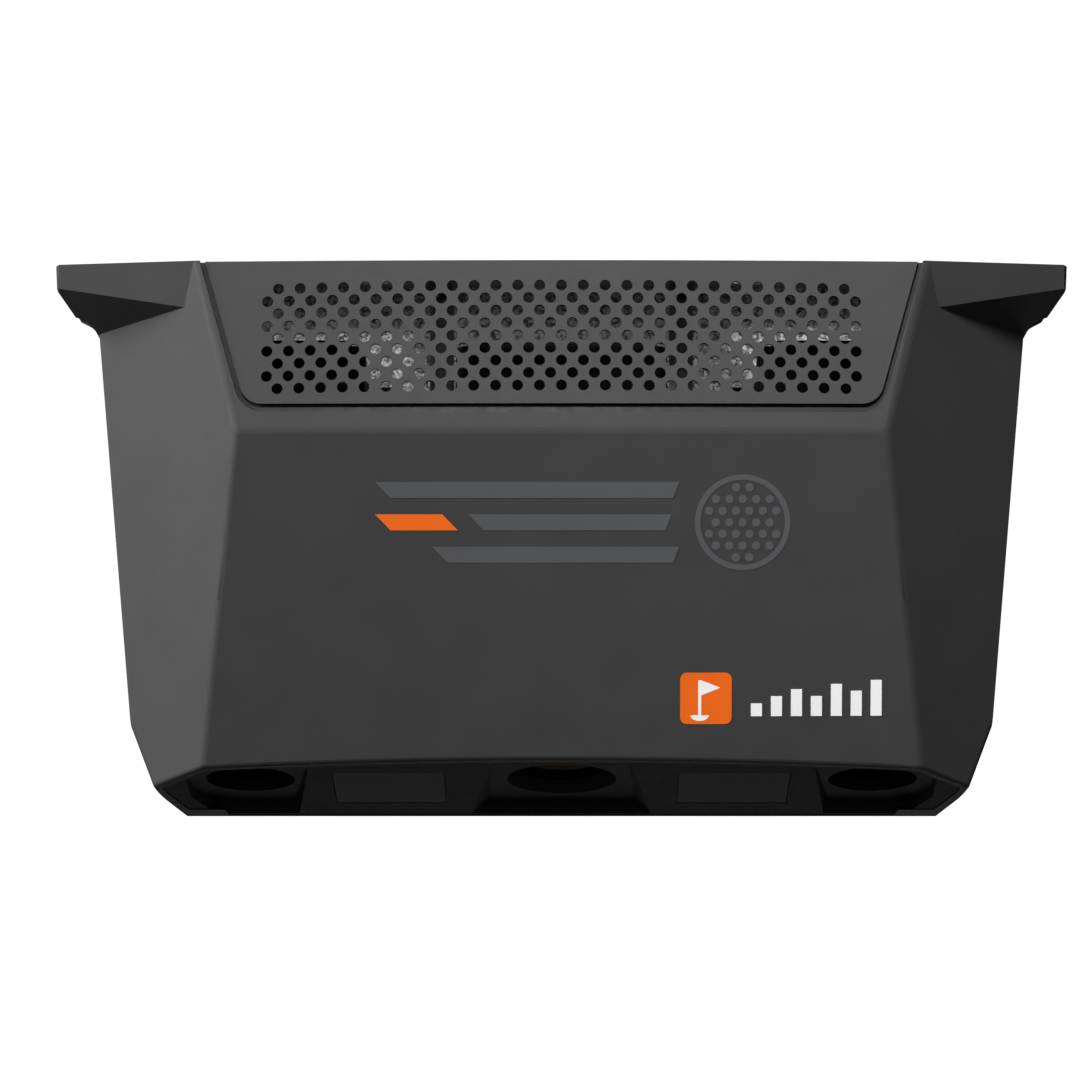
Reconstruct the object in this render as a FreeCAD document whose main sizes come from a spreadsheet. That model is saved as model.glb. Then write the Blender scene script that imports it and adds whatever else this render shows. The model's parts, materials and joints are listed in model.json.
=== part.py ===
"""Overhead golf launch monitor: a ceiling-hung sensor head with three tilted camera pods.

Frame: +Z up, X across the unit, -Y is the front (the face towards the player).
The origin is the centre of the four ceiling bolts on the ceiling face, so the body hangs below Z = 0.
All lengths are millimetres, all angles degrees.
"""
import FreeCAD, Part
import math
import os
import Sketcher
from FreeCAD import Vector as Vec, Placement, Rotation

doc = FreeCAD.newDocument("launch_monitor")
sheet = doc.addObject("Spreadsheet::Sheet", "dims")
sheet.Label = "dims"

# ---------------------------------------------------------------------------
# Driving dimensions: (alias, value)
# ---------------------------------------------------------------------------
DIMS = [
    # housing envelope
    ("ear_half", 202.0), ("back_face", 61.0), ("unit_height", 221.0), ("wall", 3.0),
    ("ridge_front", -109.0), ("ridge_level", -67.0), ("bow_radius", 1067.0),
    ("upper_lean", 0.225), ("lower_lean", 0.0963), ("facet_start", 126.3), ("facet_slope", 1.0),
    ("side_top_half", 185.4), ("side_top_level", -31.0),
    ("side_low_half", 171.6), ("side_low_level", -184.0),
    ("chin_half", 160.0), ("chin_level", -211.0), ("floor_half", 151.5),
    ("chin_slope", 0.42), ("chin_top_level", -194.3), ("floor_back", 20.0), ("back_break", -130.0),
    ("ridge_round", 8.0), ("crease_round", 5.0), ("chin_edge_round", 2.0), ("corner_round", 6.0),
    ("floor_front_round", 3.0), ("foot_round", 14.0),
    # ears and ceiling bolts
    ("ear_thick", 9.15), ("ear_front", -60.0), ("bolt_span_across", 386.0),
    ("bolt_span_along", 80.0), ("bolt_hole_rad", 3.3), ("bolt_bore_rad", 6.5),
    ("bolt_seat_level", -6.0),
    # grille
    ("grille_pitch", 8.48), ("grille_row", 5.02), ("grille_hole_rad", 2.15),
    ("grille_sheet", 1.6), ("grille_sink", 1.1), ("frame_sheet", 2.0),
    # mounting plate
    ("plate_thick", 2.5), ("plate_wide", 344.0), ("plate_deep", 105.4),
    ("plate_nose_wide", 268.0), ("plate_nose_deep", 37.4),
    # cameras
    ("cam_pitch", 123.0), ("cam_tilt", 22.8), ("cam_y", -67.8), ("cam_z", -206.35),
    ("pod_wide", 86.0), ("pod_deep", 52.0), ("pod_start", 96.0), ("pod_long", 84.0),
    ("pod_wall", 2.5), ("lens_rad", 19.0), ("ring_rad", 21.0), ("ring_bore_rad", 16.05),
    ("tube_rad", 16.0), ("tube_bore_rad", 13.5), ("cell_rad", 18.0), ("cell_sleeve_rad", 13.45),
    ("cell_bore_rad", 11.0), ("glass_rad", 14.9), ("window_rad", 20.0), ("window_thick", 2.0),
    # cooling and electronics
    ("fan_side", 60.0), ("fan_deep", 15.0), ("fan_bore_rad", 28.5), ("fan_tip_rad", 27.6),
    ("fan_hub_rad", 13.0), ("fan_x", 118.0), ("fan_level", -70.0),
    ("board_thick", 1.6), ("board_wide", 164.0), ("board_tall", 80.0),
    ("tray_sheet", 1.2), ("tray_wide", 286.0), ("tray_tall", 107.0),
    ("supply_wide", 118.0), ("supply_deep", 32.0), ("supply_tall", 42.0),
    ("rail_wide", 330.0), ("rail_deep", 8.0), ("rail_tall", 30.0),
    # controls and small screws
    ("io_wide", 116.0), ("io_tall", 54.0), ("io_sheet", 1.5),
    ("button_rad", 2.0), ("button_flange_rad", 3.2),
    ("screw_rad", 1.45), ("screw_head_rad", 2.7), ("screw_head_high", 1.8),
]
for row, (alias, value) in enumerate(DIMS, start=1):
    sheet.set("A%d" % row, alias)
    sheet.set("B%d" % row, "%r" % value)
    sheet.setAlias("B%d" % row, alias)
doc.recompute()


def dim(alias):
    """A driving dimension, read back from the sheet."""
    return float(getattr(sheet, alias))


SIDES = (1, -1)                                  # right, left
CORNERS = [(sx, sy) for sx in SIDES for sy in SIDES]
PARTS = []                                       # the objects written as STEP files


def export(obj):
    """Lists an object as a part; its label names the file."""
    PARTS.append(obj)


# ---------------------------------------------------------------------------
# PartDesign helpers
# ---------------------------------------------------------------------------
def new_body(name, placement=None):
    body = doc.addObject("PartDesign::Body", name)
    if placement is not None:
        body.Placement = placement
    return body


def origin_item(body, role):
    return next(item for item in body.Origin.OriginFeatures if item.Role == role)


def join_ends(sketch, first, count):
    for i in range(count):
        sketch.addConstraint(
            Sketcher.Constraint("Coincident", first + i, 2, first + (i + 1) % count, 1))


def bound(sketch, expression, *constraint):
    """Adds a dimension to a sketch and binds it to an expression or number."""
    index = sketch.addConstraint(Sketcher.Constraint(*constraint))
    sketch.setExpression("Constraints[%d]" % index, str(expression))


def draw_rect(sketch, width, height, x, y):
    first = sketch.GeometryCount
    ends = [Vec(-1, -1, 0), Vec(1, -1, 0), Vec(1, 1, 0), Vec(-1, 1, 0)]
    for i in range(4):
        sketch.addGeometry(Part.LineSegment(ends[i], ends[(i + 1) % 4]), False)
    join_ends(sketch, first, 4)
    for kind, edge in (("Horizontal", 0), ("Horizontal", 2), ("Vertical", 1), ("Vertical", 3)):
        sketch.addConstraint(Sketcher.Constraint(kind, first + edge))
    bound(sketch, width, "DistanceX", first, 1, first, 2, 2.0)
    bound(sketch, height, "DistanceY", first + 1, 1, first + 1, 2, 2.0)
    bound(sketch, f"({width}) / 2 + ({x})", "DistanceX", -1, 1, first + 1, 1, 1.0)
    bound(sketch, f"({height}) / 2 + ({y})", "DistanceY", -1, 1, first + 2, 1, 1.0)


def draw_circle(sketch, rad, x, y):
    index = sketch.addGeometry(Part.Circle(Vec(x, y, 0), Vec(0, 0, 1), 1.0), False)
    bound(sketch, rad, "Radius", index, 1.0)
    if x or y:
        bound(sketch, x, "DistanceX", -1, 1, index, 3, 1.0)
        bound(sketch, y, "DistanceY", -1, 1, index, 3, 1.0)
    else:
        sketch.addConstraint(Sketcher.Constraint("Coincident", index, 3, -1, 1))


def draw_loop(sketch, points):
    """A closed polygon through fixed points."""
    first, count = sketch.GeometryCount, len(points)
    for start, end in zip(points, points[1:] + points[:1]):
        sketch.addGeometry(Part.LineSegment(Vec(*start, 0), Vec(*end, 0)), False)
    join_ends(sketch, first, count)


def draw(body, name, plane="XY_Plane", lift=0.0, rects=(), circles=(), outline=()):
    """A sketch on an origin plane. Rects are (width, height, x, y), circles (radius, x, y).
    Sizes and the lift off the plane are numbers or expressions."""
    sketch = body.newObject("Sketcher::SketchObject", name)
    sketch.AttachmentSupport = [(origin_item(body, plane), "")]
    sketch.MapMode = "FlatFace"
    sketch.setExpression("AttachmentOffset.Base.z", str(lift))
    for entry in rects:
        draw_rect(sketch, *entry)
    for entry in circles:
        draw_circle(sketch, *entry)
    if outline:
        draw_loop(sketch, outline)
    doc.recompute()
    return sketch


def pad(body, name, length, reverse=False, mid=False, **drawing):
    sketch = draw(body, name, **drawing)
    feat = body.newObject("PartDesign::Pad", name + "_pad")
    feat.Profile = sketch
    feat.setExpression("Length", str(length))
    feat.Reversed = reverse
    feat.Midplane = mid
    doc.recompute()


def pocket(body, name, length=None, reverse=False, mid=False, **drawing):
    """Cuts a drawing out of a body, right through on both sides when no length is given."""
    sketch = draw(body, name, **drawing)
    feat = body.newObject("PartDesign::Pocket", name + "_cut")
    feat.Profile = sketch
    before = body.Shape.Volume
    if length is None:
        feat.Type = 1
    else:
        feat.setExpression("Length", str(length))
    feat.Reversed = reverse
    feat.Midplane = mid or length is None
    doc.recompute()
    if abs(body.Shape.Volume - before) < 1e-6:
        raise RuntimeError("pocket %s in %s cut nothing" % (name, body.Name))
    return feat


def turned(name, profile, placement):
    """A piece turned about local Z from a closed profile of (radius, height) pairs."""
    body = new_body(name, placement)
    sketch = draw(body, name + "_profile", plane="XZ_Plane", outline=profile)
    feat = body.newObject("PartDesign::Revolution", name + "_turn")
    feat.Profile = sketch
    feat.ReferenceAxis = (sketch, ["V_Axis"])
    feat.Angle = 360.0
    doc.recompute()
    return body


def midpoint(edge):
    return edge.valueAt((edge.FirstParameter + edge.LastParameter) / 2)


def body_fillet(body, rad, wanted, name):
    """Rounds the edges of a body that pass the test, in body coordinates."""
    tip = body.Tip
    names = ["Edge%d" % i for i, edge in enumerate(tip.Shape.Edges, start=1) if wanted(edge)]
    feat = body.newObject("PartDesign::Fillet", name)
    feat.Base = (tip, names)
    feat.setExpression("Radius", str(rad))
    doc.recompute()
    body.Tip = feat


def end_corners(length, half_width):
    """Edge test: the given length, with the midpoint at either end of X."""
    return lambda edge: (abs(edge.Length - length) < 0.01
                         and abs(abs(midpoint(edge).x) - half_width) < 0.1)


# ---------------------------------------------------------------------------
# Part object helpers
# ---------------------------------------------------------------------------
def feature(name, shape):
    obj = doc.addObject("Part::Feature", name)
    obj.Shape = shape
    return obj


def compound(name, shapes):
    return feature(name, Part.makeCompound(shapes))


def placed(obj, local, frame):
    obj.Placement = local if frame is None else frame.multiply(local)
    return obj


def box_of(name, length, width, height, at, frame=None):
    """A Part::Box with its low corner at a point of the frame."""
    box = doc.addObject("Part::Box", name)
    box.setExpression("Length", str(length))
    box.setExpression("Width", str(width))
    box.setExpression("Height", str(height))
    return placed(box, Placement(Vec(*at), Rotation()), frame)


def rod_of(name, rad, length, at, along=(0, 0, 1), frame=None):
    """A Part::Cylinder starting at a point of the frame and running along a direction."""
    rod = doc.addObject("Part::Cylinder", name)
    rod.setExpression("Radius", str(rad))
    rod.setExpression("Height", str(length))
    return placed(rod, Placement(Vec(*at), Rotation(Vec(0, 0, 1), Vec(*along))), frame)


def group(name, objs):
    obj = doc.addObject("Part::Compound", name)
    obj.Links = objs
    doc.recompute()
    return obj


def cut(name, base, tools):
    """Part::Cut of base with one tool object; several tools are joined first."""
    tool = tools[0]
    if len(tools) > 1:
        tool = doc.addObject("Part::MultiFuse", name + "_tools")
        tool.Shapes = tools
        doc.recompute()
    obj = doc.addObject("Part::Cut", name)
    obj.Base = base
    obj.Tool = tool
    doc.recompute()
    return obj


def join(name, shapes, refine=True):
    obj = doc.addObject("Part::MultiFuse", name)
    obj.Shapes = shapes
    obj.Refine = refine
    doc.recompute()
    return obj


def common(name, base, tool):
    obj = doc.addObject("Part::Common", name)
    obj.Base = base
    obj.Tool = tool
    doc.recompute()
    return obj


def both_sides(points):
    """Each point followed by its mirror image across X = 0."""
    out = []
    for x, y, z in points:
        out.append((x, y, z))
        if abs(x) > 1:
            out.append((-x, y, z))
    return out


def rounded(name, base, groups):
    """A Part::Fillet of base: groups are (radius alias, points near the middles of the edges)."""
    feat = doc.addObject("Part::Fillet", name)
    feat.Base = base
    middles = [midpoint(edge) for edge in base.Shape.Edges]
    edges = []
    for alias, points in groups:
        rad = dim(alias)
        for point in points:
            nearest = min(range(len(middles)), key=lambda i: (middles[i] - Vec(*point)).Length)
            edges.append((nearest + 1, rad, rad))
    feat.Edges = edges
    doc.recompute()
    if feat.Shape.isNull() or not feat.Shape.isValid():
        raise RuntimeError("rounding %s failed" % name)
    return feat


# ---------------------------------------------------------------------------
# Shape helpers
# ---------------------------------------------------------------------------
def cylinder(rad, length, at, along=(0, 0, 1)):
    return Part.makeCylinder(rad, length, Vec(*at), Vec(*along))


def prism(points, direction):
    """A solid swept from a closed 3-D polygon along a vector."""
    wire = Part.makePolygon([Vec(*p) for p in points] + [Vec(*points[0])])
    return Part.Face(wire).extrude(Vec(*direction))


def front_view_prism(right, y, depth):
    """A prism along Y from the right half of a front-view outline of (x, z), mirrored."""
    outline = right + [(-x, z) for x, z in reversed(right)]
    return prism([(x, y, z) for x, z in outline], (0, depth, 0))


def lip_prism(front_half, back_half, front_y, back_y, base, height):
    """An upright prism with a four-sided plan that narrows to the back."""
    return prism([(-front_half, front_y, base), (front_half, front_y, base),
                  (back_half, back_y, base), (-back_half, back_y, base)], (0, 0, height))


def half_space(point, normal):
    """A large block filling the side that the normal points away from."""
    size = 900.0
    block = Part.makeBox(size, size, size, Vec(-size / 2, -size / 2, -size))
    block.Placement = Placement(Vec(*point), Rotation(Vec(0, 0, 1), Vec(*normal).normalize()))
    return block


def plane_side(first, second, third, inside, grow=0.0):
    """The half space of a plane through three points that holds the inside point."""
    start = Vec(*first)
    normal = (Vec(*second) - start).cross(Vec(*third) - start).normalize()
    if normal.dot(Vec(*inside) - start) > 0:
        normal = normal * -1
    return half_space(start + normal * grow, normal)


def low_edge(side, low, width):
    """Low X of a span that starts at low on the right, or of its mirror image on the left."""
    return low if side > 0 else -low - width


def on_both(points):
    return [(side * x, other) for side in SIDES for x, other in points]


def upright(x, y, z):
    """Frame for a sheet standing across the unit: local X is X, local Y is Z, local Z is -Y."""
    return Placement(Vec(x, y, z), Rotation(Vec(1, 0, 0), 90))


def facing_back(x, y, z):
    """Frame for turned pieces whose axis runs to the back: local Z is +Y."""
    return Placement(Vec(x, y, z), Rotation(Vec(1, 0, 0), -90))


def screw(at, along, length, rad=dim("screw_rad"), head_rad=dim("screw_head_rad"),
          head_high=dim("screw_head_high"), flat=False):
    """A hexagon-socket screw: the shank runs from a point along a direction.
    A flat head sinks into the shank's length, a round one stands before its start."""
    start, axis = Vec(*at), Vec(*along).normalize()
    shank = Part.makeCylinder(rad, length, start, axis)
    if flat:
        top = start
        head = Part.makeCone(head_rad, rad, head_high, top, axis)
    else:
        top = start - axis * head_high
        head = Part.makeCylinder(head_rad, head_high, top, axis)
        rim = [edge for edge in head.Edges
               if len(edge.Vertexes) == 1 and (edge.CenterOfMass - top).Length < 1e-3]
        head = head.makeFillet(head_high * 0.3, rim)
    angles = [math.radians(60 * i) for i in range(7)]
    hexagon = Part.makePolygon([Vec(math.cos(a) * rad * 0.8, math.sin(a) * rad * 0.8, 0)
                                for a in angles])
    key = Part.Face(hexagon).extrude(Vec(0, 0, head_high * 0.6 + 0.2))
    key.Placement = Placement(top - axis * 0.2, Rotation(Vec(0, 0, 1), axis))
    return shank.fuse(head).removeSplitter().cut(key)


def cable(points, rad, bend=4.0):
    """A round cable along straight runs joined by bends of one radius."""
    points = [Vec(*p) for p in points]
    pieces, start = [], points[0]
    for i in range(1, len(points)):
        run = (points[i] - points[i - 1]).normalize()
        if i == len(points) - 1:
            pieces.append(Part.makeCylinder(rad, (points[i] - start).Length, start, run))
            break
        next_run = (points[i + 1] - points[i]).normalize()
        turn = run.getAngle(next_run)
        trim = bend * math.tan(turn / 2)
        stop = points[i] - run * trim
        pieces.append(Part.makeCylinder(rad, (stop - start).Length, start, run))
        axis = run.cross(next_run).normalize()
        centre = stop + axis.cross(run).normalize() * bend
        disc = Part.Face(Part.Wire([Part.makeCircle(rad, stop, run)]))
        pieces.append(disc.revolve(centre, axis, math.degrees(turn)))
        start = points[i] + next_run * trim
    whole = pieces[0].multiFuse(pieces[1:])
    return whole.Solids[0] if len(whole.Solids) == 1 else whole


# ---------------------------------------------------------------------------
# Housing form; inset moves a surface inwards
# ---------------------------------------------------------------------------
WALL, BACK, HEIGHT = dim("wall"), dim("back_face"), dim("unit_height")
RIDGE_Y, RIDGE_Z, BOW = dim("ridge_front"), dim("ridge_level"), dim("bow_radius")
UPPER_LEAN, LOWER_LEAN = dim("upper_lean"), dim("lower_lean")
FACET_X, FACET_SLOPE = dim("facet_start"), dim("facet_slope")
FACET_Y = RIDGE_Y + BOW - math.sqrt(BOW * BOW - FACET_X * FACET_X)
CHIN_SLOPE, CHIN_TOP_Z = dim("chin_slope"), dim("chin_top_level")
CHIN_TOP_Y = RIDGE_Y + LOWER_LEAN * (RIDGE_Z - CHIN_TOP_Z)   # front face meets the chin
FLOOR_BACK, BACK_BREAK = dim("floor_back"), dim("back_break")
FORM_TOP = 20.0                                              # the raw form runs above the ceiling
FORM_FRONT = -160.0                                          # and starts in front of the face


def facet_point(x, z):
    """A point on the upright corner facet of the plan outline."""
    return Vec(x, FACET_Y + (x - FACET_X) * FACET_SLOPE, z)


def front_lump(inset, low=-260.0):
    """The bowed front: the upper face leans back, the lower face is tucked under,
    and they meet at the ridge."""
    rad, centre_y, half, far_y = BOW - inset, RIDGE_Y + BOW, 240.0, 400
    end_y = centre_y - math.sqrt(rad * rad - half * half)
    corners = [Vec(half, end_y, RIDGE_Z), Vec(half, far_y, RIDGE_Z),
               Vec(-half, far_y, RIDGE_Z), Vec(-half, end_y, RIDGE_Z)]
    bow = Part.Arc(corners[3], Vec(0, centre_y - rad, RIDGE_Z), corners[0]).toShape()
    lines = [Part.makeLine(corners[i], corners[i + 1]) for i in range(3)]
    face = Part.Face(Part.Wire([bow] + lines))
    rise, drop = FORM_TOP - RIDGE_Z, RIDGE_Z - low
    upper = face.extrude(Vec(0, UPPER_LEAN * rise, rise))
    lower = face.extrude(Vec(0, LOWER_LEAN * drop, -drop))
    return upper.fuse(lower).removeSplitter()


def plan_prism(inset):
    """Plan outline with the two corner facets."""
    shift = inset * math.sqrt(1 + FACET_SLOPE * FACET_SLOPE)     # facet moved in along its normal
    near, far = facet_point(FACET_X - 40.0, 0), facet_point(230.0, 0)
    points = [(-near.x, near.y + shift), (near.x, near.y + shift), (far.x, far.y + shift),
              (far.x, BACK - inset), (-far.x, BACK - inset), (-far.x, far.y + shift)]
    return prism([(x, y, -300) for x, y in points], (0, 0, 360))


def inset_edge(start, end, inset):
    """An edge of the right-hand outline, running downwards, moved inwards."""
    run_x, run_z = end[0] - start[0], end[1] - start[1]
    length = math.hypot(run_x, run_z)
    move_x, move_z = run_z / length * inset, -run_x / length * inset
    return (start[0] + move_x, start[1] + move_z), (end[0] + move_x, end[1] + move_z)


def meeting(first, second):
    """The point where two lines, each given by two points, cross."""
    (x1, z1), (x2, z2) = first
    (x3, z3), (x4, z4) = second
    cross = (x1 - x2) * (z3 - z4) - (z1 - z2) * (x3 - x4)
    area1 = x1 * z2 - z1 * x2
    area2 = x3 * z4 - z3 * x4
    return ((area1 * (x3 - x4) - (x1 - x2) * area2) / cross,
            (area1 * (z3 - z4) - (z1 - z2) * area2) / cross)


def front_prism(inset):
    """Front-view outline: tapered sides and chamfered bottom corners."""
    top_half, top_z = dim("side_top_half"), dim("side_top_level")
    low_half, low_z = dim("side_low_half"), dim("side_low_level")
    taper = (top_half - low_half) / (top_z - low_z)
    base = [(top_half + taper * (FORM_TOP - top_z), FORM_TOP), (low_half, low_z),
            (dim("chin_half"), dim("chin_level")), (dim("floor_half"), -HEIGHT), (0.0, -HEIGHT)]
    edges = [inset_edge(base[i], base[i + 1], inset) for i in range(4)]
    right = [edges[0][0]] + [meeting(edges[i], edges[i + 1]) for i in range(3)]
    return front_view_prism(right, FORM_FRONT, 360)


def side_prism(inset, chin_inset):
    """Side-view outline: slanted chin in front, flat floor, sloped lower back, upright back."""
    chin_z = CHIN_TOP_Z + chin_inset * math.hypot(1, CHIN_SLOPE)
    floor_z = -HEIGHT + inset
    run_y, run_z = BACK - FLOOR_BACK, BACK_BREAK + HEIGHT
    length = math.hypot(run_y, run_z)
    slope_y, slope_z = FLOOR_BACK - run_z / length * inset, -HEIGHT + run_y / length * inset
    outline = [
        (FORM_FRONT, FORM_TOP),
        (FORM_FRONT, chin_z - CHIN_SLOPE * (FORM_FRONT - CHIN_TOP_Y)),
        (CHIN_TOP_Y + (chin_z - floor_z) / CHIN_SLOPE, floor_z),
        (slope_y + (floor_z - slope_z) * run_y / run_z, floor_z),
        (BACK - inset, slope_z + (BACK - inset - slope_y) * run_z / run_y),
        (BACK - inset, FORM_TOP)]
    return prism([(-260, y, z) for y, z in outline], (520, 0, 0))


def body_solid(inset, chin_inset=None):
    """The plain housing form moved inwards; the chin can have its own inset."""
    chin_inset = inset if chin_inset is None else chin_inset
    solid = front_lump(inset).common(plan_prism(inset)).common(front_prism(inset))
    return solid.common(side_prism(inset, chin_inset)).removeSplitter()


ceiling_cut = feature("above_ceiling", Part.makeBox(600, 600, 60, Vec(-300, -300, 0)))
form = cut("housing_form", feature("housing_mass", body_solid(0.0)), [ceiling_cut])
form_round = rounded("housing_rounded", form, [
    ("ridge_round", [(0, -109, -67)]),
    ("crease_round", both_sides([(134.9, -92.9, -33.5), (133.5, -94.3, -132.7)])),
    ("chin_edge_round", both_sides([(0, -96.7, -194.3), (150.2, -77.6, -202.3),
                                    (158.6, -62.6, -208.6), (150.8, -45.1, -216.0)])),
    ("floor_front_round", [(0, -33.2, -221.0)]),
    ("corner_round", both_sides([(165.9, -61.9, -192.3), (172.1, -8.2, -178.3)])),
    ("foot_round", both_sides([(157.5, -16.2, -211.0)])),
])
hollow = feature("housing_hollow", body_solid(WALL))


def ear():
    """The right ear: a flange along the side of the top, undercut at the front by a facet."""
    half, thick, front = dim("ear_half"), dim("ear_thick"), dim("ear_front")
    start_y = -110
    # section (x, z); the step from the fourth to the fifth point is an arc
    section = [(140, 0), (half, 0), (half - 0.7, -thick), (194.0, -21.4), (190.2, -23.4),
               (185.5, -31.0), (140, -31.0), (140, 0)]
    points = [Vec(x, start_y, z) for x, z in section]
    edges = [Part.makeLine(points[i], points[i + 1]) for i in range(7)]
    edges[4] = Part.Arc(points[4], Vec(187.2, start_y, -25.9), points[5]).toShape()
    solid = Part.Face(Part.Wire(edges)).extrude(Vec(0, BACK - start_y, 0))
    crease_top = facet_point(FACET_X + 17.7, 0)
    apex = facet_point(FACET_X + 21.7, -18.0)
    root = facet_point(186.8, -26.9)
    tip_top = Vec(half, front, 0)
    tip_low = Vec(half - 0.7, front + 0.9, -thick)
    solid = solid.common(plane_side(crease_top, tip_top, apex, crease_top + Vec(0, 1, 0)))
    solid = solid.common(plane_side(tip_low, apex, root, tip_low + Vec(0, 0, 1)))
    # small upright chamfer on the front corner
    return solid.common(half_space((half - 2.4, front - 0.7, 0), (9.0, -2.2, 0)))


ear_right = feature("ear_right", ear())
ear_left = doc.addObject("Part::Mirroring", "ear_left")
ear_left.Source = ear_right
ear_left.Normal = Vec(1, 0, 0)
doc.recompute()
shell_mass = join("shell_mass", [form_round, ear_right, ear_left])

# Chin frame: origin on the chin under a lens, local Y down the slope to the back, local Z
# into the body along the lens axis.
CAM_PITCH = dim("cam_pitch")
CAM_Y, CAM_Z = dim("cam_y"), dim("cam_z")
TILT = Rotation(Vec(1, 0, 0), -dim("cam_tilt"))
CHIN_BACK = TILT.multVec(Vec(0, 1, 0))
CHIN_IN = TILT.multVec(Vec(0, 0, 1))
CAMERAS = (("left", -CAM_PITCH), ("centre", 0.0), ("right", CAM_PITCH))


def chin_frame(x=0.0):
    return Placement(Vec(x, CAM_Y, CAM_Z), TILT)


def chin_point(x, y, z):
    """A point of the central chin frame in unit coordinates."""
    return chin_frame().multVec(Vec(x, y, z))


GRILLE_LEAN = 0.294                      # the sides of the grille lean with the creases


def grille_prism(half, low, rad, top=6.0, depth=110.0):
    """The grille outline swept to the back: half is the half width at Z = 0, low the bottom
    edge and rad the radius of the two lower corners."""
    angle = math.atan(GRILLE_LEAN)
    corner_x = half + GRILLE_LEAN * low
    trim = rad * math.tan((math.pi / 2 - angle) / 2)
    bottom = (corner_x - trim, low)
    side = (corner_x + trim * math.sin(angle), low + trim * math.cos(angle))
    centre = (corner_x - trim, low + rad)
    to_x, to_z = (bottom[0] + side[0]) / 2 - centre[0], (bottom[1] + side[1]) / 2 - centre[1]
    reach = math.hypot(to_x, to_z)
    middle = (centre[0] + to_x / reach * rad, centre[1] + to_z / reach * rad)
    head = (half + GRILLE_LEAN * top, top)

    def at(point, sign=1):
        return Vec(sign * point[0], -150.0, point[1])
    wire = Part.Wire([
        Part.makeLine(at(head, -1), at(head)),
        Part.makeLine(at(head), at(side)),
        Part.Arc(at(side), at(middle), at(bottom)).toShape(),
        Part.makeLine(at(bottom), at(bottom, -1)),
        Part.Arc(at(bottom, -1), at(middle, -1), at(side, -1)).toShape(),
        Part.makeLine(at(side, -1), at(head, -1))])
    return Part.Face(wire).extrude(Vec(0, depth, 0))


def skin(outer, inner):
    """The layer between two depths under the bowed front."""
    return front_lump(outer).cut(front_lump(inner))


grille_cut = feature("grille_cut",
                     grille_prism(141.6, -59.9, 12.0, depth=70.0).cut(front_lump(WALL + 1.0)))
rear_window = feature("rear_window", front_view_prism(
    [(178.0, -7.5), (168.5, -176.0), (151.0, -206.0)], 21.5, 60))
chin_window = feature("chin_window", body_solid(3.2, -6.0).cut(body_solid(3.2, WALL + 1.5)))
# The chin window also runs back over the floor lip, almost to the floor edge.
chin_lip = feature("chin_lip", lip_prism(137.5, 134.0, -48, -34.4, -225, 12))

# Right-hand screw places, mirrored to the left
COVER_SCREWS = [(169.0, -22.0), (164.5, -104.0)]                 # (x, z) in the upright back
SLOPE_SCREW_X, SLOPE_SCREW_Z = 150.0, -168.0                     # in the sloped lower back
PLATE_SCREWS = [(165.0, 30.0), (165.0, -30.0)]                   # (x, y)
FLOOR_SCREWS = [(110.0, -24.0), (40.0, -24.0)]                   # (x, y)
SLOPE_RUN = (BACK - FLOOR_BACK) / (HEIGHT + BACK_BREAK)          # depth change per mm of height
SLOPE_DOWN = Vec(0, -SLOPE_RUN, -1.0).normalize()
SLOPE_OUT = Vec(0, -SLOPE_DOWN.z, SLOPE_DOWN.y)                  # outward normal


def slope_screw(side, depth):
    """The axis point of a slope screw at a depth under the lower back."""
    y = BACK - (BACK_BREAK - SLOPE_SCREW_Z) * SLOPE_RUN
    return Vec(side * SLOPE_SCREW_X, y, SLOPE_SCREW_Z) - SLOPE_OUT * depth


def slope_boss(side):
    """A block under the sloped lower back, around its screw."""
    near, far, half = slope_screw(side, 3.4), slope_screw(side, 14.0), SLOPE_DOWN * 5.5
    low_x = low_edge(side, 145, 27)
    corners = [near + half, near - half, far - half, far + half]
    return prism([(low_x, p.y, p.z) for p in corners], (27, 0, 0))


# Screw bosses stand inside the shell and are trimmed to its form.
lumps = []
boss_holes = []
for side in SIDES:
    for x, z in COVER_SCREWS:
        lumps.append(Part.makeBox(24, 12, 11, Vec(low_edge(side, x - 5, 24),
                                                  BACK - WALL - 12.4, z - 5.5)))
        boss_holes.append(cylinder(1.5, 14, (side * x, BACK - WALL - 12.0, z), (0, 1, 0)))
    lumps.append(slope_boss(side))
    boss_holes.append(cylinder(1.5, 11, slope_screw(side, 13.4), SLOPE_OUT))
    for x, y in PLATE_SCREWS:
        lumps.append(Part.makeBox(27, 12, 9, Vec(low_edge(side, 160, 27), y - 6, -12.05)))
        boss_holes.append(cylinder(1.95, 8, (side * x, y, -11)))
boss_mass = feature("boss_mass",
                    lumps[0].fuse(lumps[1:]).removeSplitter().common(body_solid(1.2)))
boss_cut = compound("boss_holes", boss_holes)

# Bolt holes through the ears with counterbores from below; screw holes through the floor.
bolt_holes = []
for sx, sy in CORNERS:
    at = (sx * dim("bolt_span_across") / 2, sy * dim("bolt_span_along") / 2, -60)
    bolt_holes.append(cylinder(dim("bolt_hole_rad"), 70, at))
    bolt_holes.append(cylinder(dim("bolt_bore_rad"), 60 + dim("bolt_seat_level"), at))
bolt_cut = compound("bolt_cut", bolt_holes)
floor_holes = []
for x, y in on_both(FLOOR_SCREWS):
    floor_holes.append(cylinder(1.7, 6, (x, y, -HEIGHT - 1)))
    floor_holes.append(cylinder(3.1, 2.9, (x, y, -HEIGHT - 1)))
floor_cut = compound("floor_cut", floor_holes)

shell_open = cut("shell_open", shell_mass, [hollow])
shell_windows = cut("shell_windows", shell_open, [grille_cut, rear_window, chin_window, chin_lip])
shell_bossed = join("shell_bossed", [shell_windows, boss_mass])
export(cut("main_housing", shell_bossed, [bolt_cut, boss_cut, floor_cut]))

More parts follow.
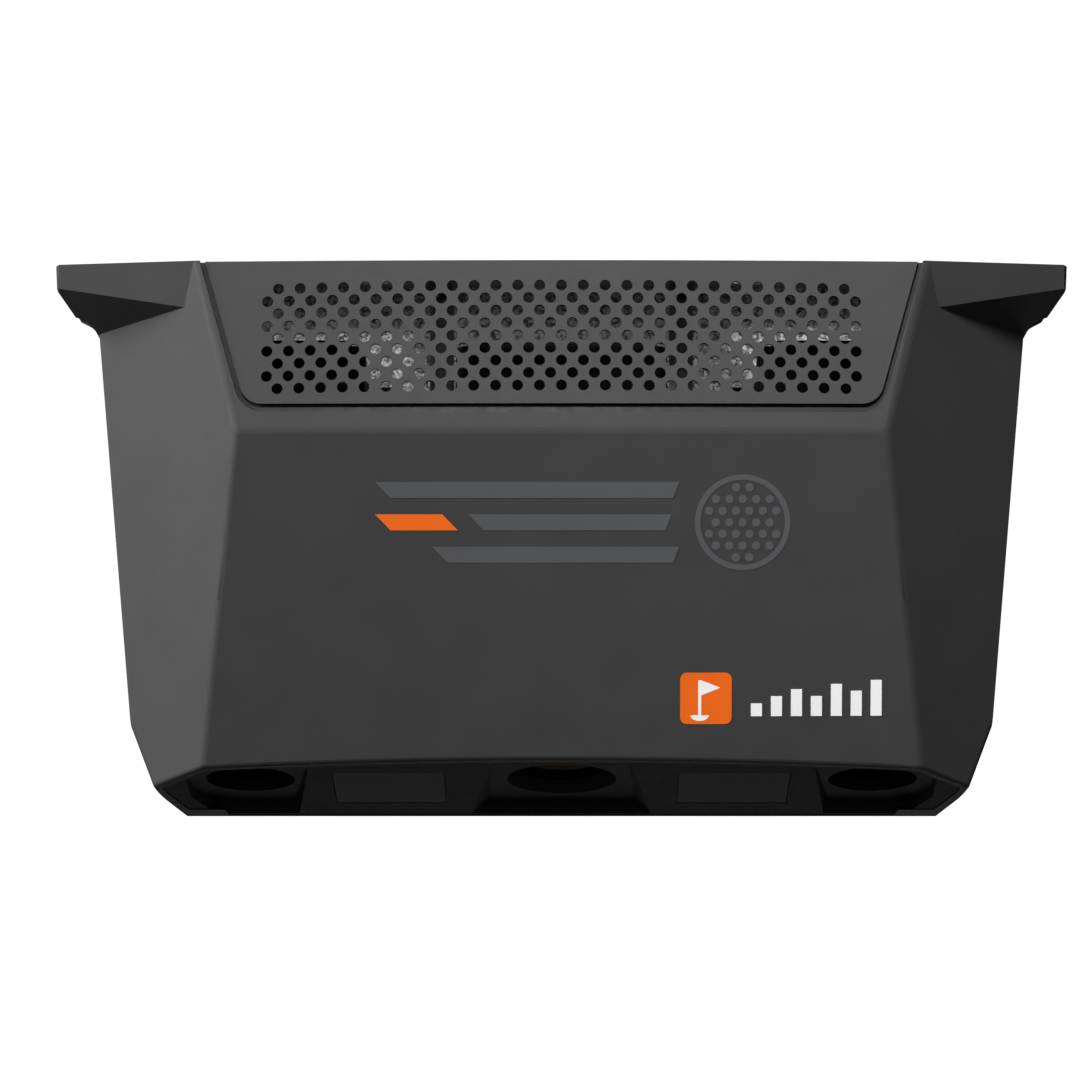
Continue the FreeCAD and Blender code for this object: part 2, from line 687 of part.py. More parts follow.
# ---------------------------------------------------------------------------
# Rear cover: the skin inside the rear window with a hairline gap, air slots behind the fans
# and a window for the connector panel.
# ---------------------------------------------------------------------------
FAN_X, FAN_Z = dim("fan_x"), dim("fan_level")
SLOT_PITCH, SLOT_RAD, SLOT_FIELD_RAD = 6.0, 1.5, 27.0
SLOT_Y, SLOT_DEPTH = 55, 8               # the cover tools start inside and pass the back face
BACKWARD = (0, 1, 0)


def air_slot(centre_x, step):
    """A round-ended slot that spans the round slot field at one height."""
    z = FAN_Z + step * SLOT_PITCH
    half = math.sqrt(SLOT_FIELD_RAD ** 2 - (step * SLOT_PITCH) ** 2) - SLOT_RAD
    slot = Part.makeBox(2 * half, SLOT_DEPTH, 2 * SLOT_RAD,
                        Vec(centre_x - half, SLOT_Y, z - SLOT_RAD))
    ends = [cylinder(SLOT_RAD, SLOT_DEPTH, (centre_x + end, SLOT_Y, z), BACKWARD)
            for end in (-half, half)]
    return slot.fuse(ends).removeSplitter()


cover_holes = []
for side in SIDES:
    cover_holes += [air_slot(side * FAN_X, step) for step in range(-4, 5)]
    for x, z in COVER_SCREWS:
        cover_holes.append(cylinder(1.7, 8, (side * x, SLOT_Y, z), BACKWARD))
        cover_holes.append(cylinder(3.1, 4, (side * x, BACK - 1.4, z), BACKWARD))
    cover_holes.append(cylinder(1.7, 8, slope_screw(side, 6), SLOPE_OUT))
    cover_holes.append(cylinder(3.1, 4, slope_screw(side, 1.4), SLOPE_OUT))
cover_holes.append(Part.makeBox(108, SLOT_DEPTH, 48.5, Vec(-54, SLOT_Y, -123.5)))
cover_cut = compound("cover_slots", cover_holes)
rear_inner = feature("rear_window_inner", front_view_prism(
    [(177.6, -7.9), (168.1, -175.8), (150.8, -205.5)], 22.5, 60))
cover_skin = cut("cover_skin", form_round, [hollow])
cover_blank = common("cover_blank", cover_skin, rear_inner)
# Small round pads space the fans off the cover.
cover_pads = [rod_of("cover_pad_%d%d%d" % (side + 1, ax + 1, az + 1), 3.0, 1.2,
                     (side * FAN_X + ax * 26.0, 57.05, FAN_Z + az * 26.0), BACKWARD)
              for side in SIDES for ax, az in CORNERS]
doc.recompute()
export(join("rear_cover", [cut("cover_cut_out", cover_blank, [cover_cut])] + cover_pads))

# ---------------------------------------------------------------------------
# Grille: a bowed perforated sheet sunk into the opening, with a frame behind it.
# ---------------------------------------------------------------------------
SINK, SHEET = dim("grille_sink"), dim("grille_sheet")
LEAN_LENGTH = math.hypot(1, UPPER_LEAN)
UP_FACE = Vec(0, UPPER_LEAN / LEAN_LENGTH, 1 / LEAN_LENGTH)       # up along the upper face
OUT_FACE = Vec(0, -1 / LEAN_LENGTH, UPPER_LEAN / LEAN_LENGTH)     # out of the upper face
DRUM_FRAME = Placement(
    Vec(0, RIDGE_Y, RIDGE_Z) - OUT_FACE * (BOW * LEAN_LENGTH),
    Rotation(OUT_FACE * -1, UP_FACE.cross(OUT_FACE * -1), UP_FACE, "ZXY"))


def drum(name, inset):
    """A round drum whose side is the bowed upper face moved in by an expression."""
    rad = f"dims.bow_radius * sqrt(1 + dims.upper_lean ^ 2) - ({inset})"
    return rod_of(name, rad, 160, (0, 0, -40), frame=DRUM_FRAME)


panel_outline = feature("panel_outline", grille_prism(139.6, -56.5, 9.0, top=-0.4))
panel_front = common("panel_drum", drum("panel_face_drum", "dims.grille_sink"), panel_outline)
panel_blank = cut("panel_blank", panel_front,
                  [drum("panel_back_drum", "dims.grille_sink + dims.grille_sheet")])
TOP_ROW_Z = -10.0
top_row = Vec(0, RIDGE_Y + UPPER_LEAN * (TOP_ROW_Z - RIDGE_Z), TOP_ROW_Z)
drills = []
for row in range(9):
    count = 27 if row % 2 == 0 else 28
    for i in range(count):
        x = (i - (count - 1) / 2) * dim("grille_pitch")
        at = top_row - UP_FACE * (row * dim("grille_row")) + Vec(x, 0, 0)
        drills.append(cylinder(dim("grille_hole_rad"), 24, at + OUT_FACE * 8, OUT_FACE * -1))
export(cut("grille_panel", panel_blank, [compound("panel_drill", drills)]))

frame_outer = feature("frame_outer", grille_prism(146.5, -65.5, 16.0, top=-0.6))
frame_inner = feature("frame_inner", grille_prism(132.0, -53.4, 6.0, top=-6.4))
lip_outer = feature("frame_lip_outer", grille_prism(138.6, -55.6, 8.2, top=-0.6))
FRAME_DEPTH = WALL + 0.25
frame_skin = feature("frame_skin", skin(FRAME_DEPTH, FRAME_DEPTH + dim("frame_sheet")))
lip_skin = feature("frame_lip_skin", skin(SINK + SHEET + 0.14, WALL + 1.2))
frame_back = common("frame_back", frame_skin, frame_outer)
frame_lip = common("frame_lip", lip_skin, lip_outer)
frame_mass = join("frame_mass", [frame_back, frame_lip])
frame_trim = feature("frame_trim", body_solid(FRAME_DEPTH).fuse(
    grille_prism(138.6, -55.6, 8.2, top=-0.5)))
frame_fit = common("frame_fit", frame_mass, frame_trim)
export(cut("grille_frame", frame_fit, [frame_inner]))

# ---------------------------------------------------------------------------
# Bottom bezel: the chin plate with three sunk lens bays and two infrared windows
# ---------------------------------------------------------------------------
IR_X = 68.0
FLOOR_TOP = -HEIGHT + WALL

# Bay walls in the chin frame: three points on each plane
CENTRE_INSIDE = (0, 5, 1)
CENTRE_BAY = [
    ((27.5, -24, 0), (36.5, 35, 0), (26.5, -22, 1.0)),
    ((-27.5, -24, 0), (-36.5, 35, 0), (-26.5, -22, 1.0)),
    ((-20, -24, 0), (20, -24, 0), (0, -22.4, 1.0)),
    ((-20, 35, 0), (20, 35, 0), (0, 33.6, 5.0)),
    ((-20, -22, 1.0), (20, -22, 1.0), (0, 33.6, 5.0)),
]
SIDE_INSIDE = (123, 5, 1)
SIDE_BAY = [
    ((99.0, -19.5, 0), (105.5, 34.5, 0), (100.0, -19.5, 2.0)),
    ((110, -19.5, 0), (120, -19.5, 0), (110, -18.6, 2.0)),
    ((134, -19.5, 0), (148, -6.0, 0), (133.4, -18.9, 2.0)),
    ((148, -6.0, 0), (148, 14.0, 0), (147.2, -6.0, 2.0)),
    ((148, 14.0, 0), (139.5, 34.5, 0), (147.3, 13.7, 2.0)),
    ((110, 34.5, 0), (120, 34.5, 0), (110, 33.1, 5.0)),
    ((110, -19.5, 1.2), (120, -19.5, 1.2), (110, 33.1, 5.0)),
]


def on_chin(shape, x=0.0):
    """A copy of a chin-frame shape, placed in the unit."""
    copy = shape.copy()
    copy.Placement = chin_frame(x).multiply(copy.Placement)
    return copy


def bays(low=-1.0, grow=0.0):
    """The centre, right and left bay spaces above a level, with their walls moved out."""
    placed_bays = []
    for planes, inside in ((CENTRE_BAY, CENTRE_INSIDE), (SIDE_BAY, SIDE_INSIDE)):
        space = Part.makeBox(400, 120, 14.0 - low, Vec(-200, -60, low))
        for plane in planes:
            space = space.common(plane_side(*plane, inside, grow))
        placed_bays.append(on_chin(space))
    return placed_bays + [placed_bays[1].mirror(Vec(0, 0, 0), Vec(1, 0, 0))]


def bottom_bezel():
    inner_form, floor_form = body_solid(3.6, 0.3), body_solid(-2.0, 0.3)
    lip = lip_prism(137.0, 133.6, -44, -34.8, -220.0, 8)
    chin_plate = inner_form.cut(body_solid(3.6, 3.3))
    chin_plate = chin_plate.fuse(lip.common(floor_form.cut(body_solid(-2.0, 3.3))))
    pieces = [chin_plate.removeSplitter()] + bays(low=0.31, grow=2.0)
    cuts = bays()
    # a collar and a conical mouth at each lens: (x, collar, cone start, cone end radius)
    for x, collar, mouth, throat in ((0.0, 24.0, 22.6, 19.0), (CAM_PITCH, 22.6, 17.8, 17.0),
                                     (-CAM_PITCH, 22.6, 17.8, 17.0)):
        pieces.append(on_chin(cylinder(collar, 10.5, (0, 0, 2.5)), x))
        cuts.append(on_chin(Part.makeCone(mouth, throat, 9.0, Vec(0, 0, 0.0)), x))
        cuts.append(on_chin(cylinder(throat, 6.0, (0, 0, 8.5)), x))
        cuts.append(on_chin(cylinder(dim("window_rad") + 0.05, 6.0, (0, 0, 9.0)), x))
    for side in SIDES:
        # seats and posts of the infrared windows and boards
        pieces.append(on_chin(Part.makeBox(50, 42, 4.2, Vec(-25, -17, 0.31)), side * IR_X))
        for ax, ay in reversed(CORNERS):
            pieces.append(on_chin(cylinder(2.4, 7.6, (ax * 19.5, 4 + ay * 15.5, 4.4)),
                                  side * IR_X))
        cuts.append(on_chin(Part.makeBox(40, 32, 12, Vec(-20, -12, -2.0)), side * IR_X))
        cuts.append(on_chin(Part.makeBox(44.1, 36.1, 6, Vec(-22.05, -14.05, -3.6)), side * IR_X))
        cuts += [cylinder(1.5, 8.5, (side * x, y, FLOOR_TOP - 0.5)) for x, y in FLOOR_SCREWS]
    # rear flange with four screw bosses, resting on the floor
    pieces.append(Part.makeBox(250, 17, 2.5, Vec(-125, -34.8, FLOOR_TOP + 0.05)))
    for x, y in on_both(FLOOR_SCREWS):
        pieces.append(cylinder(4.2, 9.5, (x, y, FLOOR_TOP + 0.05)))
    lip_space = lip_prism(137.0, 133.6, -44, -34.8, -220.6, 12).common(floor_form)
    bezel = pieces[0].fuse(pieces[1:]).common(inner_form.fuse(lip_space))
    solids = bezel.cut(cuts).removeSplitter().Solids
    return solids[0] if len(solids) == 1 else Part.makeCompound(solids)


export(feature("bottom_bezel", bottom_bezel()))

# ---------------------------------------------------------------------------
# Mounting plate across the top, and the sheet tray that carries the electronics
# ---------------------------------------------------------------------------
TRAY_Y, TRAY_Z = 34.2, -56.55
BOARD_Z = -57.0
STANDOFFS = [(sx * 76.0, sz * 35.0) for sx, sz in CORNERS]       # (x, height) from board centre
LEAD_X, LEAD_Z = 74.0, -50.0                                     # where the side leads end


def mounting_plate():
    plate = new_body("mounting_plate", Placement(Vec(0, 0, -3.0), Rotation()))
    pad(plate, "plate_main", "dims.plate_thick",
        rects=[("dims.plate_wide", "dims.plate_deep", 0, 4.7)])
    pad(plate, "plate_nose", "dims.plate_thick",
        rects=[("dims.plate_nose_wide", "dims.plate_nose_deep", 0, -61.2)])
    pocket(plate, "plate_lightening",
           rects=[(60, 34, -95, -12), (60, 34, 95, -12), (70, 26, 0, -50)])
    hole_rad = 2.1
    pocket(plate, "plate_screw_holes", circles=[(hole_rad, x, y) for x, y in on_both(PLATE_SCREWS)])
    pocket(plate, "plate_bolt_holes",
           circles=[(2.5, 50, 12), (2.5, -50, 12), (1.5, 110, 46), (1.5, -110, 46), (1.5, 0, 46)])
    body_fillet(plate, 4.0, lambda edge: edge.Length < 3.0 and abs(midpoint(edge).x) > 100,
                "plate_corners")
    # countersinks on the top rims of the screw holes
    tip = plate.Tip
    rims = ["Edge%d" % i for i, edge in enumerate(tip.Shape.Edges, start=1)
            if len(edge.Vertexes) == 1 and edge.CenterOfMass.z > 1.5
            and abs(edge.Length - 2 * math.pi * hole_rad) < 0.01]
    sink = plate.newObject("PartDesign::Chamfer", "plate_countersinks")
    sink.Base = (tip, rims)
    sink.Size = 1.45
    doc.recompute()
    plate.Tip = sink
    export(plate)


def equipment_tray():
    tray = new_body("equipment_tray", upright(0, TRAY_Y, TRAY_Z))
    pad(tray, "tray_sheet_face", "dims.tray_sheet", rects=[("dims.tray_wide", "dims.tray_tall", 0, 0)])
    pocket(tray, "tray_fan_openings",
           circles=[(27.0, side * FAN_X, FAN_Z - TRAY_Z) for side in SIDES])
    pocket(tray, "tray_cable_slots",
           rects=[(14, 10, LEAD_X, LEAD_Z - TRAY_Z), (14, 10, -LEAD_X, LEAD_Z - TRAY_Z),
                  (14, 10, 0, BOARD_Z - TRAY_Z)])
    pocket(tray, "tray_standoff_holes",
           circles=[(1.6, x, z + BOARD_Z - TRAY_Z) for x, z in STANDOFFS])
    pad(tray, "tray_flange", 22, reverse=True, rects=[("dims.tray_wide - 20", 1.2, 0, 52.9)])
    pocket(tray, "tray_flange_holes", plane="XZ_Plane",
           circles=[(1.6, x, -11.8) for x in (110, -110, 0)])
    export(tray)


mounting_plate()
equipment_tray()

# ---------------------------------------------------------------------------
# Camera rail and its brackets
# ---------------------------------------------------------------------------
RAIL_Z = 132.5                           # rail centre along the lens axes
RAIL_FRONT = 34.0                        # local Y of the rail's back face in the chin frame
CAM_BOLT_XS = (-16, 16)                  # rail bolts either side of each lens axis
BRACKET_X, BRACKET_WIDE = 50.0, 10
BRACKET_BOLTS = (-9.0, 9.0)              # bracket bolts above and below the rail centre
BRACKET_TOP_Y = 12.0                     # bolt up into the mounting plate


def camera_rail():
    # the bar stands square to the lens axes
    frame = chin_frame().multiply(upright(0, RAIL_FRONT, RAIL_Z))
    rail = new_body("camera_rail", frame)
    pad(rail, "rail_bar", "dims.rail_deep - 0.05", rects=[("dims.rail_wide", "dims.rail_tall", 0, 0)])
    pocket(rail, "rail_camera_holes",
           circles=[(2.1, x + ax, 0) for _, x in CAMERAS for ax in CAM_BOLT_XS])
    pocket(rail, "rail_bracket_holes",
           circles=[(2.1, side * BRACKET_X, az) for side in SIDES for az in BRACKET_BOLTS])
    pocket(rail, "rail_lightening",
           rects=[(22, 14, side * x, 0) for side in SIDES for x in (72, 92)])
    body_fillet(rail, 3.0, end_corners(7.95, 165), "rail_corners")
    export(rail)


def rail_bracket(tag, side):
    low_x = low_edge(side, BRACKET_X - BRACKET_WIDE / 2, BRACKET_WIDE)
    strap = box_of("bracket_strap_" + tag, BRACKET_WIDE, 3, 77.0, (low_x, 22.35, -80.1))
    foot = box_of("bracket_foot_" + tag, BRACKET_WIDE, 22, 3, (low_x, 3.4, -6.1))
    tab = box_of("bracket_tab_" + tag, BRACKET_WIDE, 3, 41, (low_x, 34.05, 112.0), chin_frame())
    holes = [rod_of("bracket_drill_%s_%d" % (tag, i), 2.1, 10,
                    (side * BRACKET_X, 30.0, RAIL_Z + az), BACKWARD, chin_frame())
             for i, az in enumerate(BRACKET_BOLTS)]
    holes.append(rod_of("bracket_drill_top_" + tag, 2.1, 8,
                        (side * BRACKET_X, BRACKET_TOP_Y, -8.0)))
    return cut("bracket_" + tag, join("bracket_mass_" + tag, [strap, foot, tab]), holes)


camera_rail()
export(group("rail_brackets", [rail_bracket("right", 1), rail_bracket("left", -1)]))

# ---------------------------------------------------------------------------
# Camera modules: heights run up the lens axis from the chin
# ---------------------------------------------------------------------------
LENS_HOLES = [(21.9 * math.cos(math.radians(45 + 90 * i)),
               21.9 * math.sin(math.radians(45 + 90 * i))) for i in range(4)]
POD_RECT = [("dims.pod_wide", "dims.pod_deep", 0, 0)]


def camera_case(tag, frame):
    case = new_body("camera_body_" + tag, frame)
    pad(case, tag + "_case_block", "dims.pod_long - dims.pod_wall - 0.05",
        lift="dims.pod_start", rects=POD_RECT)
    case_long = dim("pod_long") - dim("pod_wall") - 0.05
    body_fillet(case, 4.0, lambda edge: abs(edge.Length - case_long) < 0.02, tag + "_case_round")
    pocket(case, tag + "_case_hollow", "dims.pod_long", reverse=True,
           lift="dims.pod_start + dims.pod_wall",
           rects=[("dims.pod_wide - 2 * dims.pod_wall", "dims.pod_deep - 2 * dims.pod_wall", 0, 0)])
    pocket(case, tag + "_case_mouth", 9.5, reverse=True, lift=90.0, circles=[(16.0, 0, 0)])
    pad(case, tag + "_board_bosses", 5.5, lift=98.45,
        circles=[(3.0, ax * 19.0, ay * 18.0) for ax, ay in CORNERS])
    pocket(case, tag + "_lens_screw_holes", 3.5, reverse=True, lift=95.0,
           circles=[(1.25, x, y) for x, y in LENS_HOLES])
    pocket(case, tag + "_rail_holes", 40, plane="XZ_Plane",
           circles=[(1.95, ax, RAIL_Z) for ax in CAM_BOLT_XS])
    export(case)


def camera_back(tag, frame):
    back = new_body("camera_back_" + tag, frame)
    pad(back, tag + "_back_plate", "dims.pod_wall",
        lift="dims.pod_start + dims.pod_long - dims.pod_wall", rects=POD_RECT)
    body_fillet(back, 4.0, lambda edge: abs(edge.Length - dim("pod_wall")) < 0.02,
                tag + "_back_round")
    pad(back, tag + "_back_fins", 5, lift=179.95, rects=[(70, 2.0, 0, y) for y in range(-20, 17, 6)])
    export(back)


def sensor_board(tag, frame):
    board = new_body("sensor_board_" + tag, frame)
    pad(board, tag + "_sensor_pcb", "dims.board_thick", lift=104.02, rects=[(48, 44, 0, 0)])
    pad(board, tag + "_sensor_chip", 2.6, reverse=True, lift=104.05, rects=[(20, 16, 0, 0)])
    pad(board, tag + "_sensor_parts", 2.2, lift=105.6,
        rects=[(12, 12, -10, -8), (8, 5, 12, 10), (18, 5, 0, 17)])
    export(board)


def lens_barrel(tag, frame):
    bore, tube, lens = dim("tube_bore_rad"), dim("tube_rad"), dim("lens_rad")
    barrel = turned("lens_barrel_" + tag, [
        (bore, 36.0), (17.8, 36.0), (17.8, 39.9), (tube, 39.9), (tube, 58.15), (lens, 58.15),
        (lens, 91.5), (24.5, 91.5), (24.5, 95.95), (11.0, 95.95), (11.0, 92.0), (16.0, 92.0),
        (16.0, 62.0), (bore, 62.0)], frame)
    pocket(barrel, tag + "_flange_holes", 8, reverse=True, lift=90.0,
           circles=[(1.35, x, y) for x, y in LENS_HOLES])
    export(barrel)


def lens_cell(tag, frame):
    cell, sleeve, bore = dim("cell_rad"), dim("cell_sleeve_rad"), dim("cell_bore_rad")
    export(turned("lens_cell_" + tag, [
        (15.0, 18.0), (16.4, 18.0), (cell, 19.6), (cell, 33.5), (sleeve, 33.5), (sleeve, 56.0),
        (bore, 56.0), (bore, 28.0), (15.0, 28.0)], frame))


def focus_ring(tag, frame):
    bore, rim = dim("ring_bore_rad"), dim("ring_rad")
    ring = turned("ring_turned_" + tag, [
        (bore, 40.1), (20.0, 40.1), (rim, 41.1), (rim, 56.9), (20.0, 57.9), (bore, 57.9)], frame)
    notch = pocket(ring, tag + "_ring_notch", 10, reverse=True, lift=44.0,
                   circles=[(0.9, rim + 0.2, 0)])
    notches = ring.newObject("PartDesign::PolarPattern", tag + "_ring_notches")
    notches.Originals = [notch]
    notches.Axis = (origin_item(ring, "Z_Axis"), [""])
    notches.Angle = 360.0
    notches.Occurrences = 30
    ring.Tip = notches
    doc.recompute()
    # the thumb screw that locks the ring, pointing to the front
    stem = rod_of(tag + "_thumb_stem", 1.7, 5.0, (0, -20.4, 49.0), (0, -1, 0), frame)
    knob = rod_of(tag + "_thumb_knob", 3.0, 4.0, (0, -24.0, 49.0), (0, -1, 0), frame)
    export(join("focus_ring_" + tag, [ring, stem, knob]))


def lens_glass(tag, frame):
    """The front lens and the flat window below it."""
    glass, window = dim("glass_rad"), dim("window_rad")
    export(turned("front_lens_" + tag, [
        (0.0, 19.4), (5.0, 19.7), (10.0, 20.8), (13.0, 22.0), (glass, 22.9), (glass, 27.9),
        (0.0, 27.9)], frame))
    low = 9.03
    high = low + dim("window_thick")
    export(turned("lens_window_" + tag, [
        (0.0, low), (window - 0.4, low), (window, low + 0.4), (window, high), (0.0, high)], frame))


for tag, x in CAMERAS:
    for make in (camera_case, camera_back, sensor_board, lens_barrel, lens_cell, focus_ring,
                 lens_glass):
        make(tag, chin_frame(x))


def infrared(tag, frame):
    """An infrared window; returns the lamp board behind it."""
    window = new_body("ir_window_" + tag, frame)
    pad(window, tag + "_ir_glass", 2, lift=0.35, rects=[(44, 36, 0, 4)])
    body_fillet(window, 0.5, lambda edge: midpoint(edge).z < 0.4, tag + "_ir_edge")
    export(window)
    board = new_body("ir_board_" + tag, frame)
    pad(board, tag + "_ir_pcb", "dims.board_thick", lift=12.03, rects=[(44, 36, 0, 4)])
    pad(board, tag + "_ir_lamps", 2.5, reverse=True, lift=12.08,
        rects=[(3.4, 3.4, x, 4 + y) for x in (-12, -4, 4, 12) for y in (-9, 0, 9)])
    pad(board, tag + "_ir_plug", 5, lift=13.6, rects=[(10, 5, 0, 14)])
    return board


export(group("ir_boards", [infrared("left", chin_frame(-IR_X)),
                           infrared("right", chin_frame(IR_X))]))


# ---------------------------------------------------------------------------
# Fans: frames fixed to the rear cover, rotors turning on their pins
# ---------------------------------------------------------------------------
def fan_frame(tag, place):
    frame = new_body("fan_%s_frame" % tag, place)
    pad(frame, tag + "_fan_square", "dims.fan_deep",
        rects=[("dims.fan_side", "dims.fan_side", 0, 0)], circles=[("dims.fan_bore_rad", 0, 0)])
    pad(frame, tag + "_fan_hub", 2.5, circles=[("dims.fan_hub_rad", 0, 0)])
    pad(frame, tag + "_fan_strut_a", 2.4, rects=[(3, 58.5, 0, 0)])
    pad(frame, tag + "_fan_strut_b", 2.4, rects=[(58.5, 3, 0, 0)])
    pad(frame, tag + "_fan_pin", 11.5, circles=[(1.5, 0, 0)])
    pocket(frame, tag + "_fan_screws", circles=[(2.1, ax * 25.5, az * 25.5) for ax, az in CORNERS])
    body_fillet(frame, 3.0, end_corners(dim("fan_deep"), dim("fan_side") / 2),
                tag + "_fan_corners")
    export(frame)


def fan_rotor(tag, place):
    rad = dim("fan_hub_rad")
    hub = turned("fan_%s_hub" % tag, [
        (1.55, 3.1), (rad, 3.1), (rad, 12.4), (12.0, 13.4), (0.0, 13.4), (0.0, 11.9),
        (1.55, 11.9)], place)
    # the blades are trimmed to a ring that reaches just into the hub
    sweep = cylinder(dim("fan_tip_rad"), 9.6, (0, 0, 3.4)).cut(cylinder(rad - 0.8, 9.6, (0, 0, 3.4)))
    vanes = []
    for i in range(7):
        blade = Part.makeBox(17.0, 1.3, 12.4, Vec(12.0, -0.65, -6.2))
        blade.rotate(Vec(0, 0, 0), Vec(1, 0, 0), 38.0)
        blade.translate(Vec(0, 0, 8.0))
        blade.rotate(Vec(0, 0, 0), Vec(0, 0, 1), 360.0 / 7 * i)
        vane = feature("fan_%s_vane_%d" % (tag, i), blade.common(sweep).Solids[0])
        vane.Placement = place
        vanes.append(vane)
    export(join("fan_%s_rotor" % tag, [hub] + vanes, refine=False))


for tag, side in (("left", -1), ("right", 1)):
    fan_frame(tag, upright(side * FAN_X, 57.03, FAN_Z))
    fan_rotor(tag, upright(side * FAN_X, 57.03, FAN_Z))


# ---------------------------------------------------------------------------
# Main board with its cooler, and the power supply
# ---------------------------------------------------------------------------
def main_board():
    board = new_body("main_board", upright(0, 41.6, BOARD_Z))
    pad(board, "board_pcb", "dims.board_thick", rects=[("dims.board_wide", "dims.board_tall", 0, 0)])
    pocket(board, "board_holes", circles=[(1.6, x, z) for x, z in STANDOFFS])
    pad(board, "board_front_parts", 3.6, lift=1.6,
        rects=[(9, 8, 74, 7), (9, 8, -74, 7), (9, 8, 0, 0), (30, 22, 36, 8), (30, 22, -38, 8),
               (46, 6, 0, -22), (12, 8, 35, -36)])
    pad(board, "board_rear_parts", 2.4, reverse=True,
        rects=[(24, 24, 0, 17), (8, 8, 74, 3), (8, 8, -74, 3), (14, 12, 50, 20),
               (14, 12, -50, 20), (6, 6, 20, -28), (12, 9, 50, -30)])
    pad(board, "board_tall_parts", 9, reverse=True, circles=[(4.0, x, -6) for x in (56, 66, -56, -66)])
    pad(board, "board_key", 6, reverse=True, rects=[(6, 6, 20, -28)])
    export(board)


def heatsink():
    cooler = new_body("heatsink", upright(0, 44.05, -40.0))
    pad(cooler, "cooler_base", 3, reverse=True, rects=[(54, 40, 0, 0)])
    pad(cooler, "cooler_fins", 10.5, reverse=True, lift=-2.95,
        rects=[(1.6, 40, x, 0) for x in range(-24, 25, 6)])
    export(cooler)


def power_supply():
    psu = new_body("psu_module", Placement(Vec(0, 0, -217.9), Rotation()))
    pad(psu, "psu_feet", 2, rects=[(14, 34, 50, 0), (14, 34, -50, 0)])
    pad(psu, "psu_case", "dims.supply_tall", lift=1.95,
        rects=[("dims.supply_wide", "dims.supply_deep", 0, 0)])
    pad(psu, "psu_terminals", 1.8, lift=43.9, rects=[(22, 10, 35, 0), (16, 10, -32, 0)])
    pocket(psu, "psu_slots", 2.4, plane="XZ_Plane", lift=17.0,
           rects=[(2.0, 22.0, i * 9.0, 22) for i in range(-4, 5)])
    body_fillet(psu, 1.5, lambda edge: abs(edge.Length - 42) < 0.2
                and abs(abs(midpoint(edge).x) - 59) < 0.1, "psu_round")
    export(psu)


main_board()
heatsink()
export(group("board_standoffs", [
    rod_of("stand_%d" % i, 2.9, 5.7, (x, 34.25, BOARD_Z + z), BACKWARD)
    for i, (x, z) in enumerate(STANDOFFS)]))
power_supply()

# ---------------------------------------------------------------------------
# Connector panel: places are (x, height) from the panel centre, seen in its upright frame
# ---------------------------------------------------------------------------
IO_Y, IO_Z = 57.95, -99.0
INLET, ROCKER = (-30, -12), (14, -12)
JACK, USB, BUTTON, LIGHT = (-32, 14), (-8, 14), (20, 14), (34, 14)


def io_frame(place, forward=0.0, frame=upright):
    return frame(place[0], IO_Y + forward, IO_Z + place[1])


def io_panel():
    panel = new_body("io_panel", upright(0, IO_Y, IO_Z))
    pad(panel, "io_sheet_face", "dims.io_sheet", rects=[("dims.io_wide", "dims.io_tall", 0, 0)])
    pocket(panel, "io_windows",
           rects=[(27.4, 20.0, *INLET), (14.7, 19.7, *ROCKER), (16.3, 14.3, *JACK),
                  (8.3, 14.3, *USB)])
    pocket(panel, "io_round", circles=[("dims.button_rad + 0.05", *BUTTON), (1.6, *LIGHT)])
    body_fillet(panel, 3.0, end_corners(1.5, 58), "io_corners")
    export(panel)


def power_inlet():
    inlet = new_body("power_inlet", io_frame(INLET, 1.5))
    pad(inlet, "inlet_flange", 1.45, rects=[(30.5, 23.0, 0, 0)])
    pad(inlet, "inlet_block", 20, rects=[(27.2, 19.8, 0, 0)])
    pocket(inlet, "inlet_mouth", 15, reverse=True,
           outline=[(-11.8, -8.2), (11.8, -8.2), (11.8, 3.5), (7.5, 8.2), (-7.5, 8.2),
                    (-11.8, 3.5)])
    pad(inlet, "inlet_pins", 13, lift=2.1,
        rects=[(2.0, 4.0, -7, -2.5), (2.0, 4.0, 7, -2.5), (2.0, 4.0, 0, 2.5)])
    export(inlet)


def power_switch():
    """The rocker frame and the rocker that turns in it on two pins."""
    frame = new_body("rocker_frame", io_frame(ROCKER, 1.5))
    pad(frame, "rocker_flange", 1.45, rects=[(17.5, 22.5, 0, 0)])
    pad(frame, "rocker_case", 18, rects=[(14.5, 19.5, 0, 0)])
    pocket(frame, "rocker_mouth", 12, reverse=True, rects=[(12.2, 18.4, 0, 0)])
    pocket(frame, "rocker_pivot_holes", 13.8, mid=True, plane="YZ_Plane", circles=[(1.25, 0, 4.0)])
    export(frame)
    rocker = new_body("power_rocker", io_frame(ROCKER, 1.5))
    pad(rocker, "rocker_side", 11.8, mid=True, plane="YZ_Plane",
        outline=[(-8.3, -0.9), (0.0, 0.5), (8.3, -0.9), (8.3, 3.2), (3.4, 6.6), (-3.4, 6.6),
                 (-8.3, 3.2)])
    pad(rocker, "rocker_pins", 13.6, mid=True, plane="YZ_Plane", circles=[(1.2, 0, 4.0)])
    export(rocker)


def ethernet_jack():
    jack = new_body("ethernet_jack", io_frame(JACK, 1.2))
    pad(jack, "jack_case", 17.5, rects=[(16, 14, 0, 0)])
    pocket(jack, "jack_mouth", 12, reverse=True,
           outline=[(-5.9, 4.8), (-5.9, -3.0), (-3.0, -3.0), (-3.0, -5.2), (3.0, -5.2),
                    (3.0, -3.0), (5.9, -3.0), (5.9, 4.8)])
    export(jack)


